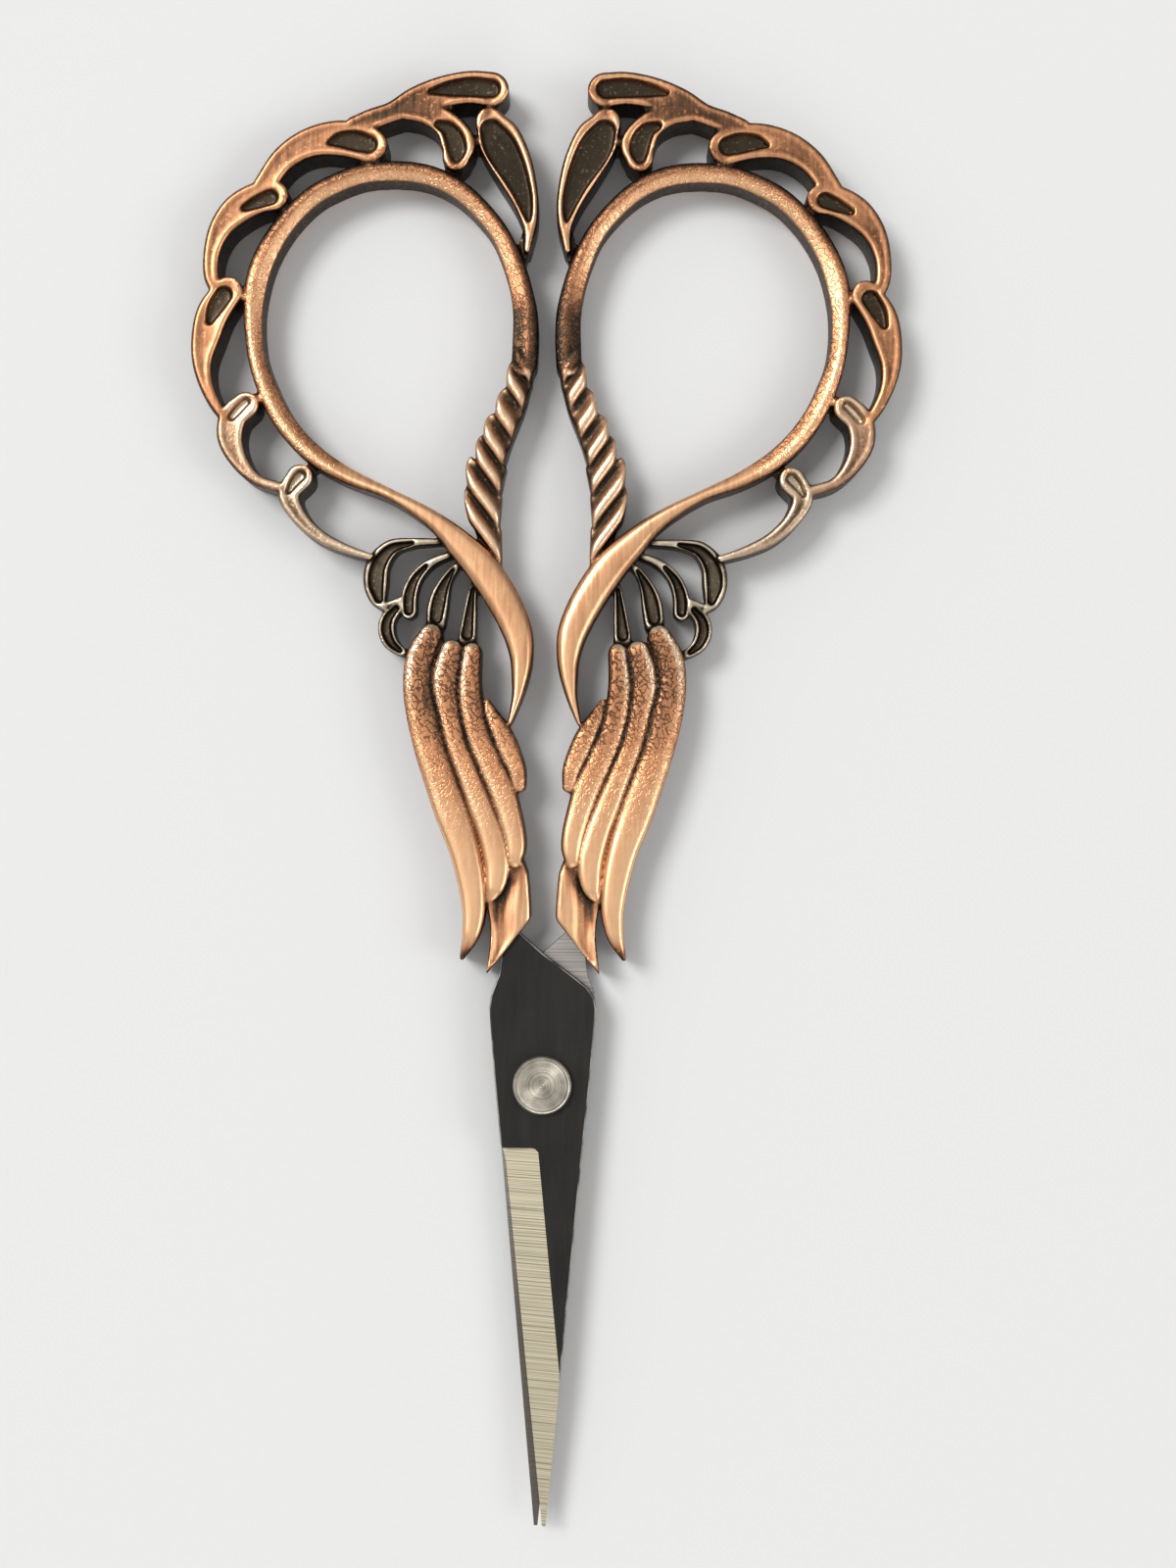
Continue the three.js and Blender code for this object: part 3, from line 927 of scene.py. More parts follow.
@dataclass(frozen=True)
class TurnedSteel(Finish):
    """Turned steel with fine rings about the pivot axis, so that its sheen runs round."""

    name: str = "turned_steel"
    metallic: float = 0.95
    roughness: float = 0.26
    tones: tuple[Stop, ...] = ((0.38, (0.25, 0.228, 0.19)), (0.60, (0.62, 0.57, 0.48)))
    ring: Pattern = Pattern(9000.0)
    ring_share: float = 0.6
    ring_dulling: float = 0.2
    tarnish: Pattern = Pattern(900.0, 4.0)
    round_sheen: float = 0.75

    def paint(self, nodes: Nodes, place: Socket) -> Inputs:
        """Wires the rings, the round sheen and a light tarnish.

        Args:
            nodes: The material's tree.
            place: Object coordinates.

        Returns:
            Names and values of the shader's inputs.
        """
        away = nodes.vector("SUBTRACT", place, PIVOT)
        squares = [nodes.math("MULTIPLY", side, side) for side in nodes.apart(away)[:2]]
        radius = nodes.math("SQRT", nodes.math("ADD", *squares))
        outward = nodes.add("ShaderNodeCombineXYZ", {0: radius}).outputs[0]
        rings = nodes.noise(outward, self.ring)
        tarnish = nodes.noise(place, self.tarnish)
        tone = nodes.total((rings, self.ring_share), (tarnish, 1.0 - self.ring_share))
        return {
            "Base Color": nodes.ramp(tone, self.tones),
            "Roughness": nodes.total((rings, self.ring_dulling), offset=self.roughness),
            "Tangent": nodes.vector("CROSS_PRODUCT", away, (0.0, 0.0, 1.0)),
            "Anisotropic": self.round_sheen,
            "Normal": self.bump(nodes, rings),
        }


@dataclass(frozen=True)
class PaleFloor(Finish):
    """Matt pale floor."""

    name: str = "pale_floor"
    roughness: float = 0.8
    shine: float = 0.2
    tone: Triple = (0.70, 0.70, 0.70)

    def paint(self, nodes: Nodes, place: Socket) -> Inputs:
        """Gives the plain tone."""
        return {"Base Color": self.tone, "Specular IOR Level": self.shine, "Roughness": self.roughness}


@dataclass(frozen=True)
class Ornament:
    """Lines of one cast handle, in millimetres from the pivot: x, y and width at each station.

    Heights are half heights above the mid plane. Each ridge of the twisted bar is given by its two ends.
    """

    flat: float = 2.2
    petal_height: float = 1.5
    bolster_height: float = 1.9
    height_slack: float = 0.05
    bow_centre: Point = (-13.3, 64.5)
    ring_and_ribbon: Stroke = Stroke((
        (-1.9, 61.5, 2.2), (-1.8, 63.9, 2.2), (-1.85, 65.8, 2.1), (-2.2, 67.8, 1.9), (-2.7, 69.55, 1.8),
        (-4.0, 72.5, 1.6), (-5.7, 74.65, 1.6), (-7.65, 76.35, 1.65), (-9.95, 77.45, 1.7),
        (-12.7, 77.85, 1.7), (-15.75, 77.6, 1.65), (-18.1, 76.75, 1.65), (-19.85, 75.8, 1.65),
        (-21.8, 74.0, 1.7), (-23.25, 72.05, 1.8), (-24.25, 70.1, 1.9), (-24.85, 68.05, 1.9),
        (-25.05, 66.0, 1.65), (-25.0, 64.0, 1.5), (-24.7, 61.75, 1.5), (-24.05, 59.75, 1.65),
        (-23.0, 57.45, 1.75), (-21.45, 55.25, 1.75), (-19.35, 53.3, 1.65), (-16.75, 51.75, 1.4),
        (-13.6, 50.4, 1.0), (-10.8, 48.9, 1.3), (-8.9, 47.6, 1.7), (-7.4, 46.2, 2.3), (-5.5, 44.2, 2.8),
        (-4.1, 42.2, 2.85), (-3.0, 40.2, 2.75), (-2.3, 38.4, 2.5), (-2.0, 36.4, 1.95), (-2.05, 35.0, 1.6),
        (-2.3, 33.2, 1.0), (-2.7, 31.7, 0.6), (-2.95, 30.9, 0.35),
    ))
    rope: Stroke = Stroke((
        (-1.95, 61.8, 2.2), (-2.35, 60.7, 2.5), (-3.1, 58.0, 2.7), (-4.0, 55.8, 2.8), (-4.65, 54.2, 2.9),
        (-5.2, 52.6, 3.0), (-5.4, 50.0, 3.05), (-5.4, 48.0, 2.9), (-5.0, 46.3, 2.4), (-4.8, 45.2, 2.1),
    ))
    ridges: tuple[tuple[Point, Point], ...] = (
        ((-2.8, 62.5), (-1.24, 60.3)), ((-3.49, 60.6), (-1.79, 58.1)), ((-4.4, 58.1), (-2.64, 55.6)),
        ((-5.42, 56.0), (-3.45, 53.2)), ((-6.11, 54.1), (-3.77, 50.9)), ((-6.9, 52.0), (-3.94, 48.2)),
        ((-6.96, 49.4), (-3.78, 45.2)),
    )
    scrolls: tuple[Stroke, ...] = strokes(
        (
            (-1.7, 71.1, 0.5), (-1.55, 72.2, 0.8), (-1.5, 73.2, 1.25), (-1.65, 74.4, 1.8),
            (-1.95, 75.6, 2.35), (-3.0, 78.3, 3.45), (-4.25, 80.8, 3.6), (-4.9, 81.9, 2.6),
        ),
        (
            (-16.5, 81.7, 1.4), (-15.0, 82.15, 1.8), (-13.3, 82.75, 1.8), (-11.3, 83.65, 2.5),
            (-9.0, 84.5, 2.7), (-6.6, 84.9, 2.85), (-4.85, 84.75, 3.0),
        ),
        (
            (-12.3, 82.75, 1.3), (-10.4, 82.6, 1.8), (-8.6, 81.7, 2.4), (-7.65, 80.1, 3.0),
            (-7.8, 79.0, 2.4),
        ),
        (
            (-24.1, 76.5, 1.9), (-22.45, 78.75, 2.15), (-20.3, 80.1, 2.55), (-17.6, 80.5, 3.1),
            (-15.2, 80.0, 3.1),
        ),
        (
            (-28.1, 67.5, 1.1), (-28.55, 68.6, 1.3), (-28.55, 70.6, 1.45), (-27.8, 72.8, 2.0),
            (-26.4, 74.4, 2.6), (-24.6, 75.4, 2.7), (-23.35, 75.6, 2.6),
        ),
        (
            (-27.2, 56.6, 0.9), (-28.0, 57.5, 1.0), (-29.0, 59.6, 1.25), (-29.3, 61.6, 1.8),
            (-29.0, 63.6, 2.5), (-28.4, 65.6, 2.8), (-27.2, 67.4, 2.6),
        ),
        (
            (-22.8, 50.8, 0.9), (-24.6, 51.4, 1.0), (-26.05, 52.9, 1.5), (-26.9, 55.0, 2.2),
            (-26.6, 56.8, 2.4), (-25.6, 57.75, 2.3),
        ),
        (
            (-14.2, 44.7, 0.5), (-15.0, 44.95, 0.55), (-17.3, 45.7, 0.85), (-19.4, 46.75, 1.15),
            (-21.1, 48.45, 1.4), (-21.85, 50.2, 1.9), (-20.95, 51.6, 2.3),
        ),
    )
    webs: tuple[Stroke, ...] = strokes(
        ((-15.0, 79.4, 1.0), (-15.0, 77.4, 1.0)),
        ((-8.1, 78.8, 0.9), (-8.6, 76.8, 0.9)),
        ((-23.0, 75.3, 0.9), (-21.6, 73.8, 0.9)),
        ((-26.8, 67.2, 0.9), (-24.9, 67.2, 0.9)),
        ((-25.4, 58.1, 0.8), (-23.6, 58.3, 0.8)),
        ((-20.8, 51.8, 0.9), (-19.3, 53.2, 0.9)),
        ((-4.7, 84.3, 0.9), (-4.7, 82.3, 0.9)),
        ((-7.4, 80.2, 0.8), (-5.2, 80.4, 0.8)),
        ((-1.85, 72.6, 0.7), (-2.05, 71.3, 1.0), (-2.4, 70.0, 1.0)),
    )
    bridges: tuple[Stroke, ...] = strokes(
        ((-4.75, 84.0, 1.2), (-4.95, 82.4, 1.5)),
        ((-7.0, 80.4, 1.1), (-5.6, 80.4, 1.1)),
        ((-10.4, 83.4, 1.8), (-8.9, 83.2, 1.5)),
        ((-15.1, 79.2, 1.5), (-15.0, 78.1, 1.8)),
        ((-27.3, 67.3, 2.3), (-26.5, 67.2, 1.6), (-25.9, 67.08, 1.0), (-25.5, 67.0, 0.9)),
        ((-25.7, 58.0, 1.9), (-25.0, 58.25, 1.2), (-24.4, 58.4, 0.9)),
    )
    cells: tuple[Stroke, ...] = strokes(
        (
            (-1.62, 73.6, 0.3), (-1.72, 74.3, 0.8), (-2.05, 75.6, 1.4), (-2.45, 76.7, 1.8),
            (-3.0, 77.9, 2.25), (-4.1, 79.9, 2.7), (-4.8, 81.2, 1.9),
        ),
        ((-10.05, 84.5, 0.4), (-8.5, 84.75, 1.15), (-6.5, 84.9, 1.6), (-4.85, 84.8, 1.5)),
        (
            (-9.3, 81.7, 0.7), (-8.5, 81.35, 1.2), (-7.95, 80.5, 1.6), (-7.75, 79.6, 1.55),
            (-7.8, 78.95, 0.9),
        ),
        ((-18.6, 80.1, 0.4), (-17.6, 80.35, 1.25), (-16.3, 80.25, 1.7), (-15.3, 80.0, 1.5)),
        ((-25.8, 74.5, 0.55), (-24.7, 75.0, 1.05), (-23.6, 75.45, 1.3)),
        ((-28.7, 64.85, 0.6), (-28.2, 66.0, 1.25), (-27.5, 67.1, 1.4)),
        ((-26.75, 56.75, 0.65), (-26.2, 57.4, 0.75), (-25.6, 58.0, 0.7)),
        ((-21.9, 50.4, 0.4), (-21.4, 51.2, 0.8), (-20.9, 51.75, 0.9)),
    )
    petals: tuple[Stroke, ...] = strokes(
        (
            (-8.6, 46.3, 0.5), (-9.5, 46.3, 0.6), (-11.5, 46.2, 0.85), (-13.2, 45.75, 1.45),
            (-14.3, 44.35, 2.0), (-14.5, 42.7, 2.1), (-14.25, 41.3, 1.4), (-13.8, 40.7, 0.7),
        ),
        (
            (-7.9, 45.3, 0.5), (-9.7, 44.55, 0.8), (-11.0, 43.3, 1.1), (-11.6, 41.8, 1.35),
            (-11.65, 40.4, 1.4),
        ),
        (
            (-7.2, 44.7, 0.45), (-8.35, 43.2, 0.9), (-8.95, 41.8, 1.55), (-9.2, 40.6, 1.8),
            (-9.35, 39.3, 1.7),
        ),
        ((-6.0, 43.2, 0.45), (-6.3, 41.5, 0.85), (-6.45, 40.0, 1.2), (-6.65, 37.8, 1.6)),
        (
            (-12.5, 40.8, 0.9), (-13.4, 39.7, 1.35), (-13.55, 38.7, 1.45), (-13.2, 37.7, 1.3),
            (-12.4, 37.0, 0.9), (-11.6, 36.6, 0.7),
        ),
        ((-13.9, 40.75, 0.5), (-13.0, 41.1, 0.5), (-12.1, 41.45, 0.5)),
    )
    petal_cells: tuple[Stroke, ...] = strokes(
        (
            (-11.4, 46.15, 0.3), (-13.2, 45.6, 0.8), (-14.2, 44.3, 1.15), (-14.45, 42.8, 1.25),
            (-14.2, 41.4, 0.7),
        ),
        ((-10.2, 44.2, 0.3), (-11.1, 43.1, 0.6), (-11.6, 41.7, 0.8), (-11.65, 40.4, 0.75)),
        ((-7.9, 43.9, 0.3), (-8.7, 42.4, 0.8), (-9.1, 41.0, 1.1), (-9.3, 39.8, 1.0)),
        ((-6.2, 42.3, 0.3), (-6.45, 40.2, 0.65), (-6.65, 38.4, 0.95)),
        (
            (-12.7, 40.6, 0.45), (-13.4, 39.7, 0.7), (-13.55, 38.7, 0.8), (-13.1, 37.6, 0.65),
            (-12.4, 37.0, 0.4),
        ),
    )
    feathers: tuple[Stroke, ...] = strokes(
        (
            (-9.75, 38.3, 2.0), (-10.6, 36.5, 2.4), (-10.85, 34.0, 2.45), (-10.4, 31.4, 2.7),
            (-9.75, 28.7, 2.7), (-8.85, 26.0, 2.8), (-7.9, 23.3, 2.9), (-6.75, 20.0, 2.6),
            (-6.1, 17.0, 2.3), (-5.9, 14.6, 1.95), (-6.2, 12.6, 1.4), (-6.9, 10.8, 0.4),
        ),
        (
            (-7.95, 37.0, 1.9), (-8.35, 35.4, 2.3), (-8.5, 33.8, 2.2), (-8.1, 31.6, 1.9),
            (-7.45, 29.0, 1.85), (-6.4, 26.3, 1.95), (-5.5, 24.0, 2.1), (-4.5, 21.3, 2.2),
            (-3.97, 19.0, 2.2), (-4.0, 17.3, 1.9), (-4.4, 15.8, 0.9),
        ),
        (
            (-6.2, 36.9, 1.6), (-6.4, 34.5, 1.9), (-6.25, 32.4, 2.05), (-5.75, 30.1, 2.1),
            (-4.7, 27.6, 2.25), (-3.65, 25.3, 2.3), (-3.0, 23.3, 2.1), (-2.5, 21.4, 1.9),
            (-2.35, 20.1, 1.7), (-2.45, 19.2, 1.3),
        ),
        (
            (-4.95, 32.7, 0.5), (-4.35, 31.3, 1.3), (-3.6, 29.9, 1.75), (-2.9, 28.3, 1.8),
            (-2.3, 26.8, 1.5), (-2.1, 25.5, 1.1),
        ),
    )
    feather_webs: tuple[Stroke, ...] = strokes(
        (
            (-9.2, 37.2, 1.6), (-9.65, 33.8, 1.6), (-8.6, 28.8, 1.6), (-6.6, 23.4, 1.6), (-5.0, 17.6, 1.6),
        ),
        (
            (-7.1, 36.8, 1.4), (-7.4, 33.8, 1.4), (-6.6, 29.4, 1.4), (-4.6, 24.4, 1.4), (-3.2, 20.0, 1.4),
        ),
        ((-5.2, 31.8, 1.0), (-4.2, 28.9, 1.4), (-2.9, 26.2, 1.0)),
    )
    bolster: tuple[Point, ...] = (
        (-4.85, 9.4), (-3.9, 10.55), (-2.95, 11.75), (-2.0, 12.95), (-1.2, 13.95), (-1.05, 14.3),
        (-1.08, 15.2), (-1.2, 17.0), (-1.32, 18.1), (-1.6, 18.9), (-2.6, 21.0), (-5.2, 21.0), (-4.8, 15.5),
        (-4.55, 14.0), (-4.48, 12.8), (-4.55, 11.7), (-4.7, 10.5),
    )
    bolster_line: Stroke = Stroke(((-4.0, 10.8, 1.5), (-2.9, 13.5, 3.0), (-2.6, 17.0, 2.5)))
    flute: Stroke = Stroke(((-4.1, 10.6, 0.6), (-3.5, 12.4, 1.5), (-3.5, 15.0, 1.6), (-3.3, 17.0, 1.5)))
    # Line on the bolster that is darkened with painted shade below the feather ends.
    end_shade_line: Stroke = Stroke((
        (-4.2, 14.2, 0.5), (-4.2, 15.6, 1.2), (-3.0, 17.6, 1.0), (-2.3, 18.3, 0.6), (-1.5, 18.9, 0.5),
    ))

    def on_bolster(self, height: np.ndarray) -> np.ndarray:
        """Whether places at a half height can lie on the bolster, and not on the feathers over it."""
        return height <= self.bolster_height + self.height_slack


@dataclass(frozen=True)
class Patina:
    """Where the castings are dark, rubbed bright, grainy, worn or brushed. Places are millimetres.

    Pairs are where a change starts and ends. Tones run from 0, black patina, to 1, rubbed bright, and they
    also carry painted highlights and painted shade.
    """

    ornament: Ornament
    # Stations along the bow: share of the length, tone, and the painted highlight on its inner side, painted
    # shade where negative.
    bow_fade: tuple[Station, ...] = (
        (0.0, 0.3, -0.1), (0.045, 0.32, -0.1), (0.085, 0.42, 0.3), (0.12, 0.4, 0.52), (0.4, 0.38, 0.55),
        (0.44, 0.66, 0.25), (0.48, 0.72, 0.0), (0.52, 0.86, -0.34), (0.66, 0.86, -0.34),
    )
    bow_end: float = 0.66
    zone_spacing: float = 0.25
    feather_grain: float = 0.9
    rubbed_stretch: Range = (16.0, 34.0)
    rubbed_gain: float = 0.54
    grain_curve: float = 1.5
    silver_stretch: Range = (30.0, 37.0)
    silver_highlight_gain: float = 0.22
    silver_share: float = 0.9
    feather_tip: float = 11.0
    bolster_tip: float = 9.4
    tip_stretch: Range = (-0.2, 1.7)
    tip_shade: float = 0.9
    # Floor tones of the cells; the bright floors of the two lowest cells are a painted glint.
    cell_tones: tuple[float, ...] = (0.11, 0.12, 0.14, 0.14, 0.15, 0.2, 0.75, 0.6)
    petal_cell_tone: float = 0.05
    petal_gleam: float = 0.4
    gleam_depth: Range = (0.12, 0.5)
    cell_edge: Range = (-0.02, 0.16)
    # Painted highlight on the lips of the cells, and its width.
    lip_highlight: float = 0.7
    lip_width: float = 0.09
    wall_tone: float = 0.12
    facing_slope: Range = (0.1, 0.48)
    rim_slope: Range = (0.1, 0.5)
    relief_start: Range = (0.9, 1.6)
    crest_rounds: int = 6
    crest_height: float = 0.035
    lift_rounds: int = 70
    lift_height: float = 0.5
    least_weight: float = 0.0001
    crease: Range = (0.15, 0.7)
    crease_tone: float = 0.36
    border_start: Range = (48.0, 52.0)
    outer_side: Range = (-0.1, 0.5)
    outer_shade: float = 0.16
    end_shade_edge: Range = (-0.9, 0.4)
    end_shade_tone: float = 0.5
    blend_rounds: int = 2

    def zones(self) -> tuple[Zone, ...]:
        """Says how each group of strokes is worn.

        Returns:
            The zones of patina. Where two overlap, the earlier one is on top.
        """
        lines = self.ornament
        bow = (lines.ring_and_ribbon,)
        leaf, upper, curl, *large, silvered, tail = lines.scrolls
        feather = {"grain": 1.0, "brush": 0.3, "flank_light_and_wear": 0.28, "hollow": 0.06, "rim": 0.22}
        return (
            Zone(bow, grain=0.5, brush=0.15, rim=0.05, last=self.bow_end, fade=self.bow_fade),
            Zone(bow, tone=0.74, brush=1.0, rim=0.25, first=self.bow_end),
            Zone(lines.feathers[:1], tone=0.42, **feather),
            Zone(lines.feathers[1:], tone=0.45, **feather),
            Zone((lines.rope,), tone=0.55, grain=0.15, worn=0.36, brush=0.2, hollow=0.5),
            Zone((leaf,), tone=0.47, grain=0.05, worn=0.15, brush=0.3, rim=0.3),
            Zone((upper, curl), tone=0.32, grain=0.05, brush=0.8, rim=0.5),
            Zone(tuple(large), tone=0.48, grain=0.05, brush=0.5, rim=0.25),
            Zone((silvered,), tone=0.54, grain=0.15, worn=0.5, brush=0.3, rim=0.3),
            Zone((tail,), tone=0.44, grain=0.2, worn=0.7, brush=0.1),
            Zone(lines.petals, tone=0.29, grain=0.1, worn=0.95, rim=0.6),
            Zone((lines.bolster_line,), tone=0.78, brush=1.0),
        )

    def zone_values(self, places: np.ndarray) -> np.ndarray:
        """Values of the zone that each place lies on.

        Args:
            places: Rows of x, y and z.

        Returns:
            One row for each place, in the order of Wear.
        """
        table, covered = [], []
        for zone in self.zones():
            rows = zone.rows(self.zone_spacing)
            clear = np.ones(len(rows), bool)
            for stroke in covered:
                clear &= stroke.inside(rows[:, :2]) < 0.0
            covered += zone.strokes if zone.first == 0.0 else ()
            kept = clear | (zone.first > 0.0)
            table.append(np.column_stack([rows[:, :2], zone.values(*rows[:, 2:].T)])[kept])
        table = np.vstack(table)
        values = table[nearest(table, places)[0], 2:]
        along = places[:, 1]
        feather = values[:, Wear.GRAIN] > self.feather_grain
        rubbed = 1.0 - smoothstep(self.rubbed_stretch, along)
        silver = smoothstep(self.silver_stretch, along)
        # Lower feathers are rubbed bright; near their tops the worn strip also gets a painted highlight.
        gain = self.rubbed_gain * rubbed + self.silver_highlight_gain * silver * values[:, Wear.WORN]
        values[:, Wear.TONE] += np.where(feather, gain, 0.0)
        values[:, Wear.GRAIN] *= np.where(feather, (1.0 - rubbed) ** self.grain_curve, 1.0)
        values[:, Wear.WORN] *= np.where(feather, self.silver_share * silver, 1.0)
        # Painted shade on the lowest tips of the feathers and the bolster, where their surfaces curve down.
        over_tip = along - np.where(feather, self.feather_tip, self.bolster_tip)
        values[:, Wear.TONE] -= self.tip_shade * (1.0 - smoothstep(self.tip_stretch, over_tip))
        return values

    def cell_values(self, plan: np.ndarray) -> tuple[np.ndarray, np.ndarray, np.ndarray]:
        """Wear of the sunk cells.

        Args:
            plan: Rows of x and y.

        Returns:
            How far each place is in a cell, the tone of its floor and how far it is on a cell's lip.
        """
        sunk, floor, lip = np.zeros((3, len(plan)))
        cells = [(stroke, tone, 0.0) for stroke, tone in zip(self.ornament.cells, self.cell_tones)]
        cells += [(stroke, self.petal_cell_tone, self.petal_gleam) for stroke in self.ornament.petal_cells]
        for stroke, tone, gleam in cells:
            deep = stroke.inside(plan)
            inside = smoothstep(self.cell_edge, deep)
            sunk = np.maximum(sunk, inside)
            floor = np.maximum(floor, (tone + gleam * smoothstep(self.gleam_depth, deep)) * inside)
            lip = np.maximum(lip, np.exp(-((deep / self.lip_width) ** 2)))
        return sunk, floor, lip

    def weather(self, mesh: bpy.types.Mesh) -> None:
        """Stores how far each place is rubbed bright, grainy, worn or brushed.

        Args:
            mesh: Finished casting in millimetres.
        """
        # The stored tone also carries painted highlights and painted shade, each marked where it is added.
        places, normals = rows_of(mesh, Vertex.PLACE), rows_of(mesh, Vertex.NORMAL)
        plan, height, upright = places[:, :2], np.abs(places[:, 2]), np.abs(normals[:, 2])
        mean = neighbour_mean(mesh)
        soft = mean(places, self.crest_rounds)
        crest = np.clip(((places - soft) * normals).sum(1) / self.crest_height, -1.0, 1.0)
        facing = smoothstep(self.facing_slope, upright)
        weighted = np.column_stack([facing * height, facing + self.least_weight])
        around, weight = mean(weighted, self.lift_rounds).T
        lift = np.clip((height - around / weight) / self.lift_height, -1.0, 1.0)
        reach = smoothstep(self.relief_start, height)
        values = self.zone_values(places)
        top = facing * reach * (values[:, Wear.TONE] + values[:, Wear.HOLLOW] * lift)
        wall = self.wall_tone * (1.0 - facing)
        away = plan - np.array(self.ornament.bow_centre)
        away /= np.linalg.norm(away, axis=1)[:, None]
        # On the border, inward-facing edges keep the rim's painted highlight and outward-facing edges get
        # painted shade.
        outer = smoothstep(self.outer_side, (normals[:, :2] * away).sum(1))
        outer *= smoothstep(self.border_start, places[:, 1])
        edge = values[:, Wear.RIM] * crest * (1.0 - outer) - self.outer_shade * outer
        rim = smoothstep(self.rim_slope, upright) * reach * edge
        # Painted shade on the bolster below the feather ends and at the top of the flute.
        end_shade = self.end_shade_tone * smoothstep(self.end_shade_edge, self.ornament.end_shade_line.inside(plan))
        end_shade *= self.ornament.on_bolster(height)
        crease = self.crease_tone * smoothstep(self.crease, -crest)
        sunk, floor, lip = self.cell_values(plan)
        exposure = (top + wall + rim - end_shade - crease) * (1.0 - sunk) + floor
        # Painted highlight along the cell lips.
        values[:, Wear.TONE] = np.maximum(exposure, self.lip_highlight * lip * reach)
        values[:, Wear.WORN] = np.maximum(values[:, Wear.WORN], sunk)
        values[:, Wear.BRUSH] *= 1.0 - sunk
        values = np.clip(mean(values, self.blend_rounds), 0.0, 1.0)
        for column, name in WEAR_NAMES.items():
            attribute = mesh.attributes.new(name, "FLOAT", "POINT")
            attribute.data.foreach_set("value", values[:, column].astype(np.float32))


